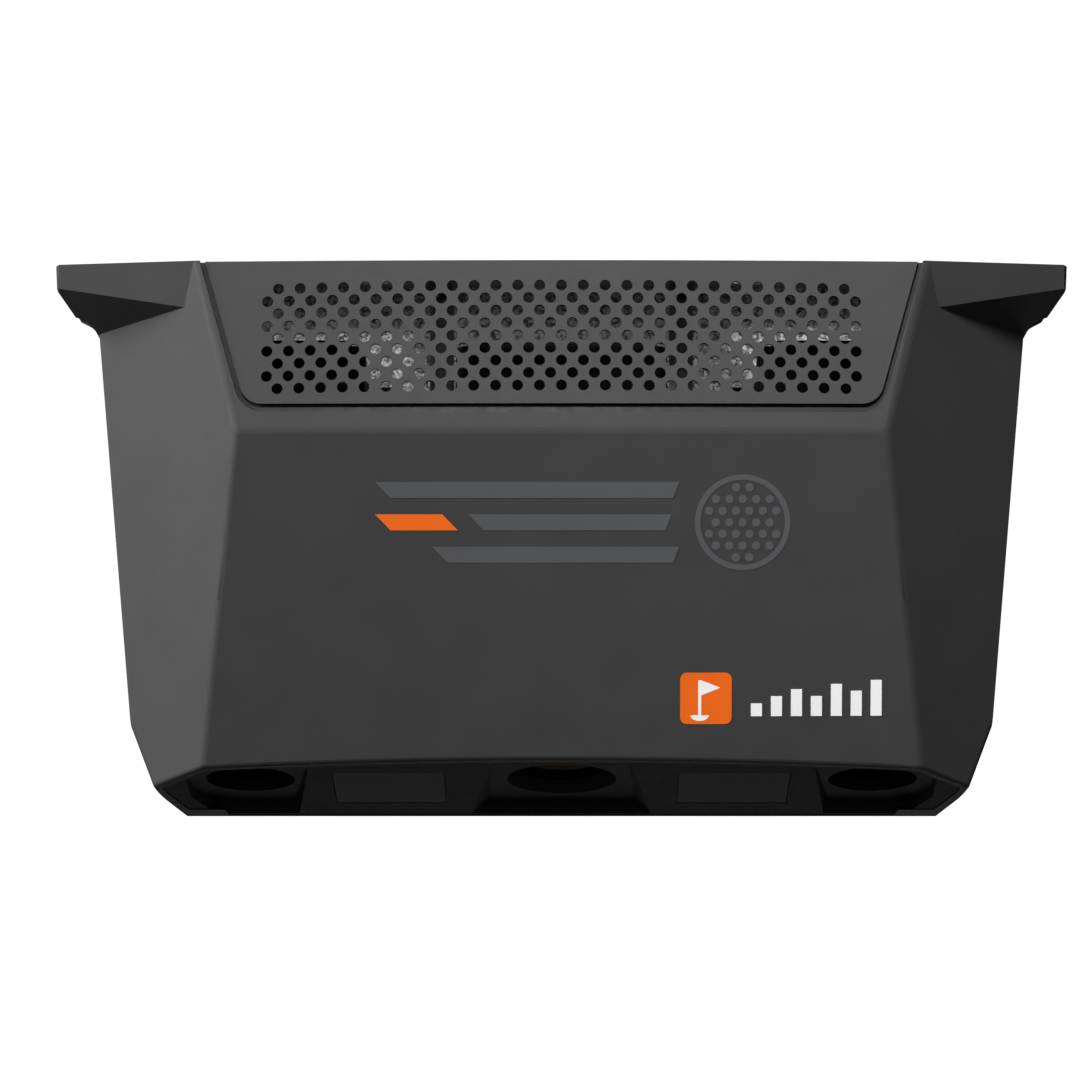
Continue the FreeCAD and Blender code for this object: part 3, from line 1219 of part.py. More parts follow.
def usb_port():
    usb = new_body("usb_port", io_frame(USB, 1.2))
    pad(usb, "usb_case", 17.5, rects=[(8, 14, 0, 0)])
    pocket(usb, "usb_mouth", 11, reverse=True, rects=[(6.6, 12.6, 0, 0)])
    pad(usb, "usb_tongue", 9.5, lift=2.0, rects=[(2.0, 10.6, -1.4, 0)])
    export(usb)


def button_and_light():
    flange, rad = dim("button_flange_rad"), dim("button_rad")
    export(turned("reset_button", [
        (0.0, 49.6 - IO_Y), (1.2, 49.6 - IO_Y), (1.2, 54.0 - IO_Y), (flange, 54.0 - IO_Y),
        (flange, 55.6 - IO_Y), (rad, 55.6 - IO_Y), (rad, 0.9), (1.6, 1.3), (0.0, 1.3)],
        io_frame(BUTTON, frame=facing_back)))
    export(turned("status_light", [
        (0.0, -6.0), (1.5, -6.0), (1.5, 0.02), (2.4, 0.05), (2.4, 0.5), (1.6, 1.1), (0.0, 1.3)],
        io_frame(LIGHT, frame=facing_back)))


io_panel()
power_inlet()
power_switch()
ethernet_jack()
usb_port()
button_and_light()


# ---------------------------------------------------------------------------
# Wiring
# ---------------------------------------------------------------------------
def camera_lead(x):
    """A cable from the back of a camera to the main board."""
    start = chin_point(x, 26.05, 164.0)
    if x == 0.0:
        points = [start, start + CHIN_BACK * 7.0, (0, 29.5, BOARD_Z), (0, 34.9, BOARD_Z)]
    else:
        side = 1 if x > 0 else -1
        points = [start, start + CHIN_BACK * 10.9, (side * 100.0, 29.8, BOARD_Z),
                  (side * LEAD_X, 29.8, LEAD_Z), (side * LEAD_X, 34.9, LEAD_Z)]
    return cable(points, 1.7)


export(group("camera_cables",
             [feature("camera_lead_" + tag, camera_lead(x)) for tag, x in CAMERAS]))
export(group("power_harness", [
    feature("supply_lead", cable(
        [(35, 0, -172.15), (35, 0, -158), (35, 37.2, -112), (35, 37.2, -97.05)], 2.2, 8.0)),
    feature("inlet_lead", cable(
        [(-30, 39.35, -114), (-30, 31, -114), (-30, 0, -156), (-30, 0, -172.15)], 2.6, 8.0)),
]))
FAN_WIRE = [(87.95, 51, -60), (85.5, 51, -60), (80.5, 43.0, -54), (78.1, 43.0, -54)]
export(group("fan_leads", [
    feature("fan_wire_%d" % (side + 1), cable([(side * x, y, z) for x, y, z in FAN_WIRE], 1.0, 2.0))
    for side in SIDES]))

# ---------------------------------------------------------------------------
# Fasteners
# ---------------------------------------------------------------------------
cover_set = []
for side in SIDES:
    for x, z in COVER_SCREWS:
        cover_set.append(screw((side * x, BACK - 1.36, z), (0, -1, 0), 11.0, head_high=1.3))
    cover_set.append(screw(slope_screw(side, 1.36), SLOPE_OUT * -1, 10.0, head_high=1.3))
export(compound("cover_screws", cover_set))
export(compound("bezel_screws", [
    screw((x, y, -HEIGHT + 1.85), (0, 0, 1), 8.6, head_high=1.4)
    for x, y in on_both(FLOOR_SCREWS)]))
export(compound("plate_screws", [
    screw((x, y, -0.6), (0, 0, -1), 9.5, rad=1.9, head_rad=3.35, head_high=1.35, flat=True)
    for x, y in on_both(PLATE_SCREWS)]))

rail_set = [screw(chin_point(x + ax, 34.05, RAIL_Z), CHIN_BACK * -1, 11.2,
                  rad=1.9, head_rad=3.4, head_high=3.0)
            for _, x in CAMERAS for ax in CAM_BOLT_XS]
for side in SIDES:
    for az in BRACKET_BOLTS:
        rail_set.append(screw(chin_point(side * BRACKET_X, 37.1, RAIL_Z + az), CHIN_BACK * -1,
                              10.6, rad=2.0, head_rad=3.4, head_high=3.0))
    rail_set.append(screw((side * BRACKET_X, BRACKET_TOP_Y, -6.15), (0, 0, 1), 5.4,
                          rad=2.05, head_rad=3.6, head_high=3.0))
export(compound("rail_bolts", rail_set))
export(compound("lens_screws", [
    screw(chin_frame(cam_x).multVec(Vec(x, y, 91.45)), CHIN_IN, 6.5,
          rad=1.2, head_rad=2.1, head_high=1.4)
    for _, cam_x in CAMERAS for x, y in LENS_HOLES]))

# ---------------------------------------------------------------------------
# Write the parts
# ---------------------------------------------------------------------------
doc.recompute()
bad = [obj.Name for obj in doc.Objects if "Invalid" in obj.State or "Error" in obj.State]
if bad:
    raise RuntimeError("objects failed: %s" % bad)
for part in PARTS:
    if part.Shape.isNull() or not part.Shape.isValid() or not part.Shape.Solids:
        raise RuntimeError("part %s has no valid shape" % part.Label)
os.makedirs("parts", exist_ok=True)
for part in PARTS:
    part.Shape.exportStep("parts/%s.step" % part.Label)
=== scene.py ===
"""A black three-camera unit: looks, studio and camera for its CAD pieces.

Metres, +Z up, +X to the viewer's right. The bowed front faces -Y. The three cameras
sit side by side along X and look forward and down through the tilted chin.
"""
import bpy
import bmesh
import json
import math
import random
from functools import cached_property
from mathutils import Matrix, Vector


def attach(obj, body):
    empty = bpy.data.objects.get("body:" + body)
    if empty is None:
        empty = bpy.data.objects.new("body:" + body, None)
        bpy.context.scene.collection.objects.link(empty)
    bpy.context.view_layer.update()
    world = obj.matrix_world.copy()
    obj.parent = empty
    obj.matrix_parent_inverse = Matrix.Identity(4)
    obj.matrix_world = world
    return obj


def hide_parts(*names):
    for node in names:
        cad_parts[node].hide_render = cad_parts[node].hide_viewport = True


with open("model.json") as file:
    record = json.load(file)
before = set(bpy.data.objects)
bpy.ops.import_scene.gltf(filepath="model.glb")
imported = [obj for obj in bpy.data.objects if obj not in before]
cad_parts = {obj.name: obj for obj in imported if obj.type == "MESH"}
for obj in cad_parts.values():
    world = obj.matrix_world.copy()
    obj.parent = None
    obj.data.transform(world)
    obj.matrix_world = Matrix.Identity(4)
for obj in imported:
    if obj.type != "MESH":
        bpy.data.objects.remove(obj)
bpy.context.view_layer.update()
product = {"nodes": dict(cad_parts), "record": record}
NODES = product["nodes"]
MM = 0.001

# ---------------------------------------------------------------------------
# Driving dimensions of the housing, matching the solid model
# ---------------------------------------------------------------------------
CREASE_Y = -0.109       # foremost line of the front, at x = 0
CREASE_Z = -0.067       # the front leans back above and below this height
BOW_RADIUS = 1.067
LEAN_ABOVE = 0.225      # depth gained per height above the crease
LEAN_BELOW = 0.0963     # depth gained per drop below it

# Chin frame: local +Z runs up and back into the housing, along the lens axis
CHIN_TILT = math.radians(22.8)
CHIN = Matrix.Translation((0, -0.0678, -0.20635)) @ Matrix.Rotation(-CHIN_TILT, 4, "X")
CAMERA_PITCH = 0.123
CAMERAS = {"left": -CAMERA_PITCH, "centre": 0.0, "right": CAMERA_PITCH}
LAMP_BOARD_X = 0.068    # a lamp board lies on each side of the centre camera


def front_y(x, z):
    """Depth of the bowed front at x, z."""
    y = CREASE_Y + BOW_RADIUS - math.sqrt(BOW_RADIUS * BOW_RADIUS - x * x)
    rise = z - CREASE_Z
    return y + (LEAN_ABOVE * rise if rise > 0 else -LEAN_BELOW * rise)


def chin_frame(x):
    return Matrix.Translation((x, 0, 0)) @ CHIN


def mm(*lengths):
    """Millimetres to metres."""
    return tuple(length * MM for length in lengths)


# ---------------------------------------------------------------------------
# Materials
# ---------------------------------------------------------------------------
def shade(colour, factor):
    return tuple(min(1.0, channel * factor) for channel in colour)


class Mat:
    """A node material, with short ways to add textures and feed the Principled shader."""

    def __init__(self, name):
        self.material = bpy.data.materials.new(name)
        self.material.use_nodes = True
        self.tree = self.material.node_tree
        self.shader = self.tree.nodes["Principled BSDF"]

    @cached_property
    def position(self):
        return self.node("ShaderNodeTexCoord").outputs["Object"]

    def node(self, kind, values=None, **properties):
        """Adds a node; values sets its inputs by name or number."""
        node = self.tree.nodes.new(kind)
        for key, value in properties.items():
            setattr(node, key, value)
        for key, value in (values or {}).items():
            node.inputs[key].default_value = value
        return node

    def link(self, source, target):
        self.tree.links.new(source, target)

    def feed(self, name, source):
        """Drives one input of the Principled shader."""
        self.link(source, self.shader.inputs[name])

    def set(self, **values):
        """Sets inputs of the Principled shader; underscores stand for spaces."""
        for key, value in values.items():
            self.shader.inputs[key.replace("_", " ")].default_value = value

    def show(self, source):
        """Outputs this shader instead of the Principled one."""
        self.tree.nodes.remove(self.shader)
        self.link(source, self.tree.nodes["Material Output"].inputs["Surface"])

    def mapped(self, **values):
        mapping = self.node("ShaderNodeMapping", values)
        self.link(self.position, mapping.inputs["Vector"])
        return mapping.outputs["Vector"]

    def noise(self, scale, detail=3.0, rough=0.55, stretch=None):
        values = {"Scale": scale, "Detail": detail, "Roughness": rough}
        node = self.node("ShaderNodeTexNoise", values)
        place = self.mapped(Scale=stretch) if stretch else self.position
        self.link(place, node.inputs["Vector"])
        return node.outputs["Fac"]

    def ramp(self, fac, stops):
        """Colour ramp through (position, colour) stops."""
        node = self.node("ShaderNodeValToRGB")
        elements = node.color_ramp.elements
        for element, (position, colour) in zip(elements, (stops[0], stops[-1])):
            element.position = position
            element.color = (*colour, 1.0)
        for position, colour in stops[1:-1]:
            elements.new(position).color = (*colour, 1.0)
        self.link(fac, node.inputs["Fac"])
        return node.outputs["Color"]

    def mottled(self, fac, colour, spread):
        """The colour, varied darker and lighter by the spread."""
        return self.ramp(fac, [(0.3, shade(colour, 1 - spread)), (0.7, shade(colour, 1 + spread))])

    def map_range(self, value, low, high, start=0.3, end=0.7):
        """Maps start..end to low..high."""
        node = self.node("ShaderNodeMapRange", {
            "From Min": start, "From Max": end, "To Min": low, "To Max": high})
        self.link(value, node.inputs["Value"])
        return node.outputs["Result"]

    def bump(self, height, strength, distance):
        node = self.node("ShaderNodeBump", {"Strength": strength, "Distance": distance})
        self.link(height, node.inputs["Height"])
        self.feed("Normal", node.outputs["Normal"])


def coated(name, colour, rough=0.42, spread=0.08, grain=1700.0, relief=0.12, mottle=45.0,
           metallic=0.0, coat=0.0, spec=0.5, glow=0.0):
    """Painted or moulded surface: faint mottling, fine orange-peel grain, optional glow."""
    m = Mat(name)
    varied = m.mottled(m.noise(mottle, detail=4.0), colour, spread)
    m.feed("Base Color", varied)
    patches = m.noise(mottle * 5, detail=2.0)
    m.feed("Roughness", m.map_range(patches, low=rough - 0.04, high=rough + 0.05))
    m.bump(m.noise(grain, detail=2.0), strength=relief, distance=0.0002)
    m.set(Metallic=metallic, Specular_IOR_Level=spec)
    if coat:
        m.set(Coat_Weight=coat, Coat_Roughness=0.15)
    # A glow makes the surface emit its own colour: painted light on the print marks, an even glow
    # on the floor
    if glow:
        m.feed("Emission Color", varied)
        m.set(Emission_Strength=glow)
    return m.material


def metal(name, colour, rough=0.3, brush=(1, 1, 1), grain=900.0):
    """Bare metal; brush stretches the grain along the axes."""
    m = Mat(name)
    fac = m.noise(grain, stretch=brush)
    m.feed("Base Color", m.mottled(fac, colour, spread=0.12))
    m.feed("Roughness", m.map_range(fac, low=rough - 0.06, high=rough + 0.1))
    m.bump(fac, strength=0.08, distance=0.0001)
    m.set(Metallic=1.0)
    return m.material


def spangle_with_painted_glow(name):
    """Galvanised sheet: bright crystals on dark, with a painted glow that grows towards the bottom
    and stands in for light falling on the tray.
    """
    m = Mat(name)
    cells = m.node("ShaderNodeTexVoronoi", {"Scale": 900.0})
    m.link(m.position, cells.inputs["Vector"])
    grain = m.noise(1500.0, detail=2.0, rough=0.7)
    product_node = m.node("ShaderNodeMath", operation="MULTIPLY")
    channels = m.node("ShaderNodeSeparateColor")
    m.link(cells.outputs["Color"], channels.inputs["Color"])
    m.link(channels.outputs["Red"], product_node.inputs[0])
    m.link(m.map_range(grain, low=0.45, high=1.3), product_node.inputs[1])
    speck = m.ramp(product_node.outputs[0], [
        (0.02, (0.10, 0.10, 0.10)), (0.35, (0.42, 0.42, 0.41)), (0.8, (0.95, 0.96, 0.97))])
    m.feed("Base Color", speck)
    m.set(Metallic=0.15, Roughness=0.5)
    axes = m.node("ShaderNodeSeparateXYZ")
    m.link(m.position, axes.inputs["Vector"])
    # Painted light: the crystals glow in their own colour, more strongly towards the bottom of the
    # tray
    m.feed("Emission Color", speck)
    m.feed("Emission Strength", m.map_range(
        axes.outputs["Z"], low=0.175, high=0.016, start=-0.044, end=-0.009))
    m.bump(grain, strength=0.2, distance=0.0002)
    return m.material


def glassy(name, colour, tint=(0.25, 0.12, 0.45), clarity=0.75):
    """Coated glass: a clear layer mixed with a tinted reflecting one."""
    m = Mat(name)
    clear = m.node("ShaderNodeBsdfTransparent")
    gloss = m.node("ShaderNodeBsdfGlossy", {"Roughness": 0.03})
    fresnel = m.node("ShaderNodeFresnel", {"IOR": 1.6})
    m.link(m.mottled(m.noise(300.0, detail=2.0), colour, spread=0.2), clear.inputs["Color"])
    facing = m.node("ShaderNodeLayerWeight", {"Blend": 0.35}).outputs["Facing"]
    red, green, blue = tint
    sheen = m.ramp(facing, [(0.0, tint), (0.5, (blue, red, green)), (1.0, (0.8, 0.85, 0.9))])
    m.link(sheen, gloss.inputs["Color"])
    reflection = m.node("ShaderNodeMath", {1: 1.0 - clarity}, operation="ADD")
    m.link(fresnel.outputs["Fac"], reflection.inputs[0])
    mix = m.node("ShaderNodeMixShader")
    m.link(reflection.outputs[0], mix.inputs["Fac"])
    m.link(clear.outputs["BSDF"], mix.inputs[1])
    m.link(gloss.outputs["BSDF"], mix.inputs[2])
    m.show(mix.outputs["Shader"])
    return m.material


def board(name, mask, trace):
    """Solder mask over faint copper tracks."""
    m = Mat(name)
    tracks = m.node("ShaderNodeTexBrick", {
        "Scale": 260.0, "Mortar Size": 0.03, "Color1": (*mask, 1),
        "Color2": (*shade(mask, 0.85), 1), "Mortar": (*trace, 1)})
    m.link(m.mapped(Rotation=(math.pi / 2, 0, 0)), tracks.inputs["Vector"])
    m.feed("Base Color", tracks.outputs["Color"])
    m.feed("Roughness", m.map_range(m.noise(400.0), low=0.22, high=0.36))
    m.bump(m.noise(700.0), strength=0.1, distance=0.0001)
    return m.material


def woven(name, dark, light):
    """Braided sleeve."""
    m = Mat(name)
    bands = m.node("ShaderNodeTexWave", {"Scale": 420.0, "Distortion": 1.5},
                   wave_type="BANDS", bands_direction="DIAGONAL")
    m.link(m.position, bands.inputs["Vector"])
    m.feed("Base Color", m.ramp(bands.outputs["Fac"], [(0.35, dark), (0.65, light)]))
    m.bump(bands.outputs["Fac"], strength=0.5, distance=0.0003)
    m.set(Roughness=0.7)
    return m.material


# Material of each slot; colours are linear red, green, blue
SLOT_MATERIAL = {
    "housing_black": coated("housing_satin", (0.070, 0.070, 0.071), rough=0.55, spread=0.05,
                            spec=0.16),
    "grille_grey": coated("grille_satin", (0.074, 0.074, 0.075), rough=0.55, spread=0.04,
                          grain=2200.0, spec=0.16),
    "frame_black": coated("frame_moulded", (0.022, 0.022, 0.023), rough=0.5),
    "bezel_black": coated("bezel_satin", (0.016, 0.016, 0.017), rough=0.40, spec=0.4),
    "plate_steel": metal("zinc_plate", (0.42, 0.43, 0.45), rough=0.34, brush=(1, 14, 1)),
    "tray_steel": spangle_with_painted_glow("galvanised_sheet_painted_glow"),
    "rail_aluminium": metal("milled_aluminium", (0.62, 0.63, 0.65), rough=0.28,
                            brush=(12, 1, 1)),
    "camera_black": coated("camera_anodised", (0.006, 0.006, 0.0065), rough=0.6,
                           grain=2600.0, spec=0.06),
    "lens_black": coated("lens_anodised", (0.016, 0.016, 0.017), rough=0.33, metallic=0.6,
                         grain=2400.0),
    "ring_black": coated("ring_anodised", (0.03, 0.03, 0.031), rough=0.38, metallic=0.6,
                         grain=2400.0),
    "board_black": board("board_black_mask", (0.012, 0.014, 0.014), (0.05, 0.045, 0.03)),
    "board_green": board("board_green_mask", (0.01, 0.09, 0.035), (0.12, 0.16, 0.05)),
    "fan_black": coated("fan_moulded", (0.02, 0.02, 0.02), rough=0.45),
    "rotor_black": coated("rotor_moulded", (0.035, 0.035, 0.037), rough=0.36),
    "cooler_aluminium": metal("cooler_extruded", (0.5, 0.51, 0.53), rough=0.35,
                              brush=(1, 1, 16)),
    "standoff_brass": metal("brass_turned", (0.75, 0.56, 0.24), rough=0.25, brush=(1, 12, 1)),
    "connector_black": coated("connector_moulded", (0.018, 0.018, 0.018), rough=0.3),
    "rocker_red": coated("rocker_moulded", (0.42, 0.02, 0.012), rough=0.28, coat=0.3),
    "port_metal": metal("port_plated", (0.62, 0.62, 0.63), rough=0.24),
    "button_grey": coated("button_moulded", (0.2, 0.2, 0.205), rough=0.45),
    "cable_black": coated("cable_sheath", (0.018, 0.018, 0.019), rough=0.6, grain=2500.0),
    "screw_steel": metal("screw_oxide", (0.09, 0.09, 0.095), rough=0.36),
    "ir_glass": coated("ir_acrylic", (0.010, 0.007, 0.008), rough=0.08, relief=0.01, coat=0.6),
    "window_glass": glassy("window_coated", (0.55, 0.56, 0.6), clarity=0.86),
    "lens_glass": glassy("lens_coated", (0.42, 0.4, 0.5), tint=(0.2, 0.08, 0.5), clarity=0.7),
    "light_green": coated("status_lens", (0.1, 0.55, 0.16), rough=0.2, coat=0.5),
}
RUBBER = coated("gasket_rubber", (0.012, 0.012, 0.012), rough=0.8, grain=1200.0, relief=0.3)
LAMP = coated("lamp_epoxy", (0.5, 0.42, 0.4), rough=0.15, coat=0.5)
CHIP = coated("chip_epoxy", (0.012, 0.012, 0.013), rough=0.4, grain=3000.0)
TIN = metal("tinned_pads", (0.66, 0.66, 0.64), rough=0.3, grain=2000.0)
CERAMIC = coated("ceramic_tan", (0.34, 0.24, 0.14), rough=0.35)
CAN = metal("capacitor_can", (0.55, 0.56, 0.58), rough=0.25)
GREY_PRINT = coated("mark_grey", (0.115, 0.12, 0.128), rough=0.5, spread=0.03)
# The orange and white print glows: painted light that makes the marks brighter than the lamps
# alone would
ORANGE_PRINT_PAINTED_GLOW = coated("mark_orange_painted_glow", (0.80, 0.125, 0.004), rough=0.5, spread=0.03, glow=0.36)
WHITE_PRINT_PAINTED_GLOW = coated("mark_white_painted_glow", (0.80, 0.80, 0.80), rough=0.5, spread=0.02, glow=0.42)
RED_WIRE = coated("wire_red", (0.45, 0.02, 0.015), rough=0.4)
YELLOW_WIRE = coated("wire_yellow", (0.6, 0.42, 0.02), rough=0.4)
BRAID = woven("braided_sleeve", (0.012, 0.012, 0.013), (0.05, 0.05, 0.052))

SLOT_OF = {part["node"]: part["material_slot"] for part in product["record"]["subparts"]}
for name, obj in NODES.items():
    obj.data.materials.clear()
    obj.data.materials.append(SLOT_MATERIAL[SLOT_OF[name]])
NODES["psu_module"].data.materials[0] = SLOT_MATERIAL["plate_steel"]
NODES["power_harness"].data.materials[0] = BRAID


# ---------------------------------------------------------------------------
# Mesh helpers
# ---------------------------------------------------------------------------
def put(name, bm, body, slot, material=None, smooth=True):
    """Makes an object that rides on a body; its material is the slot's unless given."""
    bmesh.ops.remove_doubles(bm, verts=bm.verts, dist=1e-7)
    bmesh.ops.recalc_face_normals(bm, faces=bm.faces)
    mesh = bpy.data.meshes.new(name)
    bm.to_mesh(mesh)
    bm.free()
    obj = bpy.data.objects.new(name, mesh)
    bpy.context.scene.collection.objects.link(obj)
    mesh.materials.append(material or SLOT_MATERIAL[slot])
    if smooth:
        for face in mesh.polygons:
            face.use_smooth = True
        mesh.set_sharp_from_angle(angle=math.radians(35.0))
    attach(obj, body)
    return obj


def block(bm, size, place, centre=(0, 0, 0), chamfer=0.0):
    """A box, with optionally chamfered upright edges, in the frame given by place."""
    hx, hy, hz = (length / 2 for length in size)
    cx, cy, cz = centre
    c = chamfer
    if c:
        outline = [(-hx + c, -hy), (hx - c, -hy), (hx, -hy + c), (hx, hy - c),
                   (hx - c, hy), (-hx + c, hy), (-hx, hy - c), (-hx, -hy + c)]
    else:
        outline = [(-hx, -hy), (hx, -hy), (hx, hy), (-hx, hy)]
    low, top = ([bm.verts.new(place @ Vector((cx + x, cy + y, z))) for x, y in outline]
                for z in (cz - hz, cz + hz))
    bm.faces.new(list(reversed(low)))
    bm.faces.new(top)
    for i in range(len(outline)):
        j = (i + 1) % len(outline)
        bm.faces.new((low[i], low[j], top[j], top[i]))


def lathe(bm, profile, segments, place, closed=True):
    """Turns (radius, height) points about local Z; closed joins the last to the first."""
    rings = []
    for radius, z in profile:
        if radius < 1e-9:
            rings.append([bm.verts.new(place @ Vector((0, 0, z)))] * segments)
            continue
        ring = []
        for i in range(segments):
            angle = 2 * math.pi * i / segments
            point = Vector((radius * math.cos(angle), radius * math.sin(angle), z))
            ring.append(bm.verts.new(place @ point))
        rings.append(ring)
    pairs = list(zip(rings, rings[1:]))
    if closed:
        pairs.append((rings[-1], rings[0]))
    for a, b in pairs:
        for i in range(segments):
            j = (i + 1) % segments
            # A ring on the axis is one vertex, so its faces are triangles
            bm.faces.new(list(dict.fromkeys((a[i], a[j], b[j], b[i]))))


def smooth_line(points, steps=10):
    """Catmull-Rom curve through the points."""
    knots = [Vector(p) for p in points]
    knots = [knots[0] * 2 - knots[1]] + knots + [knots[-1] * 2 - knots[-2]]
    line = []
    for a, b, c, d in zip(knots, knots[1:], knots[2:], knots[3:]):
        for k in range(steps):
            t = k / steps
            line.append(0.5 * ((2 * b) + (c - a) * t + (2 * a - 5 * b + 4 * c - d) * t * t
                               + (3 * b - a - 3 * c + d) * t ** 3))
    return line + [knots[-2]]


def sweep(bm, points, radius, segments):
    """A round lead through the points, capped."""
    line = smooth_line(points)
    side = None
    rings = []
    for i, point in enumerate(line):
        along = (line[min(i + 1, len(line) - 1)] - line[max(i - 1, 0)]).normalized()
        if side is None:
            # Any direction that the lead doesn't start along
            side = along.cross(Vector((0.13, 0.31, 0.94))).normalized()
        else:
            side = (side - along * side.dot(along)).normalized()
        other = along.cross(side)
        angles = [2 * math.pi * k / segments for k in range(segments)]
        rings.append([bm.verts.new(point + side * radius * math.cos(angle)
                                   + other * radius * math.sin(angle)) for angle in angles])
    for a, b in zip(rings, rings[1:]):
        for k in range(segments):
            j = (k + 1) % segments
            bm.faces.new((a[k], a[j], b[j], b[k]))
    bm.faces.new(list(reversed(rings[0])))
    bm.faces.new(rings[-1])


# ---------------------------------------------------------------------------
# Printed marks, laid on the bowed front. Outlines are (x, z).
# ---------------------------------------------------------------------------
LIFT = 0.00012          # print thickness
TOP_LIFT = 0.0002       # print that lies over other print
SUNK = -0.00005         # foot of the print's walls, just behind the surface
TILE_STEP = 0.004


def on_front(bm, x, z, lift):
    return bm.verts.new(Vector((x, front_y(x, z) - lift, z)))


def ellipse(x, z, radius_x, radius_z, angles):
    return [(x + radius_x * math.cos(a), z + radius_z * math.sin(a)) for a in angles]


def circle(x, z, radius, count):
    return ellipse(x, z, radius, radius, [2 * math.pi * k / count for k in range(count)])


def tile(bm, corners, lift):
    """A four-cornered patch split finely enough to follow the bow."""
    a, b, c, d = [Vector(corner) for corner in corners]
    n = max(1, int(max((b - a).length, (c - d).length) / TILE_STEP))
    m = max(1, int(max((d - a).length, (c - b).length) / TILE_STEP))

    def grid(height):
        rows = []
        for i in range(n + 1):
            u = i / n
            row = []
            for j in range(m + 1):
                v = j / m
                p = (a * (1 - u) + b * u) * (1 - v) + (d * (1 - u) + c * u) * v
                row.append(on_front(bm, p.x, p.y, height))
            rows.append(row)
        return rows

    top = grid(lift)
    for i in range(n):
        for j in range(m):
            bm.faces.new((top[i][j], top[i + 1][j], top[i + 1][j + 1], top[i][j + 1]))
    low = grid(SUNK)
    border = [(i, 0) for i in range(n + 1)] + [(n, j) for j in range(1, m + 1)]
    border += [(i, m) for i in range(n - 1, -1, -1)] + [(0, j) for j in range(m - 1, 0, -1)]
    for (i, j), (i2, j2) in zip(border, border[1:] + border[:1]):
        bm.faces.new((top[i][j], low[i][j], low[i2][j2], top[i2][j2]))


def rectangle(bm, x0, x1, z0, z1, lift):
    tile(bm, [(x0, z0), (x1, z0), (x1, z1), (x0, z1)], lift)


def ring_band(bm, x, z, inner, outer, lift, count=72):
    """A flat ring with walls down to the surface."""
    top_in, top_out, low_in, low_out = (
        [on_front(bm, px, pz, height) for px, pz in circle(x, z, radius, count)]
        for radius, height in ((inner, lift), (outer, lift), (inner, SUNK), (outer, SUNK)))
    for k in range(count):
        j = (k + 1) % count
        bm.faces.new((top_in[k], top_out[k], top_out[j], top_in[j]))
        bm.faces.new((top_out[k], low_out[k], low_out[j], top_out[j]))
        bm.faces.new((low_in[k], top_in[k], top_in[j], low_in[j]))


def patch(bm, outline, lift):
    """A small closed shape given by its outline, fanned from its middle."""
    count = len(outline)
    middle = on_front(bm, sum(x for x, _ in outline) / count,
                      sum(z for _, z in outline) / count, lift)
    top = [on_front(bm, x, z, lift) for x, z in outline]
    low = [on_front(bm, x, z, SUNK) for x, z in outline]
    for k in range(count):
        j = (k + 1) % count
        bm.faces.new((middle, top[k], top[j]))
        bm.faces.new((top[k], low[k], low[j], top[j]))


# Large mark: a dimpled ball leaving three streaks
BALL_X, BALL_Z, BALL_RADIUS = 0.070, -0.1025, 0.0185
BALL_LINE = 0.0021
DIMPLE_RADIUS = 0.00165
DIMPLE_PITCH_X, DIMPLE_PITCH_Z = 0.0052, 0.0045
DIMPLE_MARGIN = 0.0038  # dimple centres keep this far inside the ball
STREAK_HEIGHT = 0.0062
STREAK_SLANT = 0.006    # the lower left corner lies this far right of the upper
# upper left x, lower right x, height of the middle line over the ball's centre
STREAKS = [(-0.072, 0.043, 0.0125), (-0.050, 0.043, -0.0125), (-0.036, 0.040, 0.0)]


def streak(bm, left, right, offset, right_slant):
    low = BALL_Z + offset - STREAK_HEIGHT / 2
    high = BALL_Z + offset + STREAK_HEIGHT / 2
    tile(bm, [(left + STREAK_SLANT, low), (right, low), (right + right_slant, high),
              (left, high)], LIFT)


def ball_mark():
    bm = bmesh.new()
    ring_band(bm, BALL_X, BALL_Z, BALL_RADIUS - BALL_LINE, BALL_RADIUS, LIFT)
    for column in range(-3, 4):
        for row in range(-3, 4):
            x = (column + row / 2) * DIMPLE_PITCH_X
            z = row * DIMPLE_PITCH_Z
            if math.hypot(x, z) < BALL_RADIUS - DIMPLE_MARGIN:
                patch(bm, circle(BALL_X + x, BALL_Z + z, DIMPLE_RADIUS, 20), LIFT)
    for left, right, offset in STREAKS:
        streak(bm, left, right, offset, right_slant=0.0025)
    put("mark_ball_streaks", bm, "housing", "housing_black", GREY_PRINT)
    bm = bmesh.new()
    streak(bm, left=-0.072, right=-0.040, offset=0.0, right_slant=-STREAK_SLANT)
    put("mark_streak_accent", bm, "housing", "housing_black", ORANGE_PRINT_PAINTED_GLOW)


# Small badge: a rounded tile with a pennant, and a row of bars to its right
BADGE_X, BADGE_Z = 0.0560, -0.1707
BADGE_HALF, BADGE_CORNER = 0.0100, 0.0026
MAST_LEFT, MAST_RIGHT = BADGE_X - 0.0030, BADGE_X - 0.0018
PENNANT_TIP_X = BADGE_X + 0.0054
BAR_X, BAR_PITCH, BAR_WIDTH = 0.0735, 0.0078, 0.0043
BAR_HEIGHTS = (0.0050, 0.0078, 0.0105, 0.0078, 0.0125, 0.0098, 0.0140)


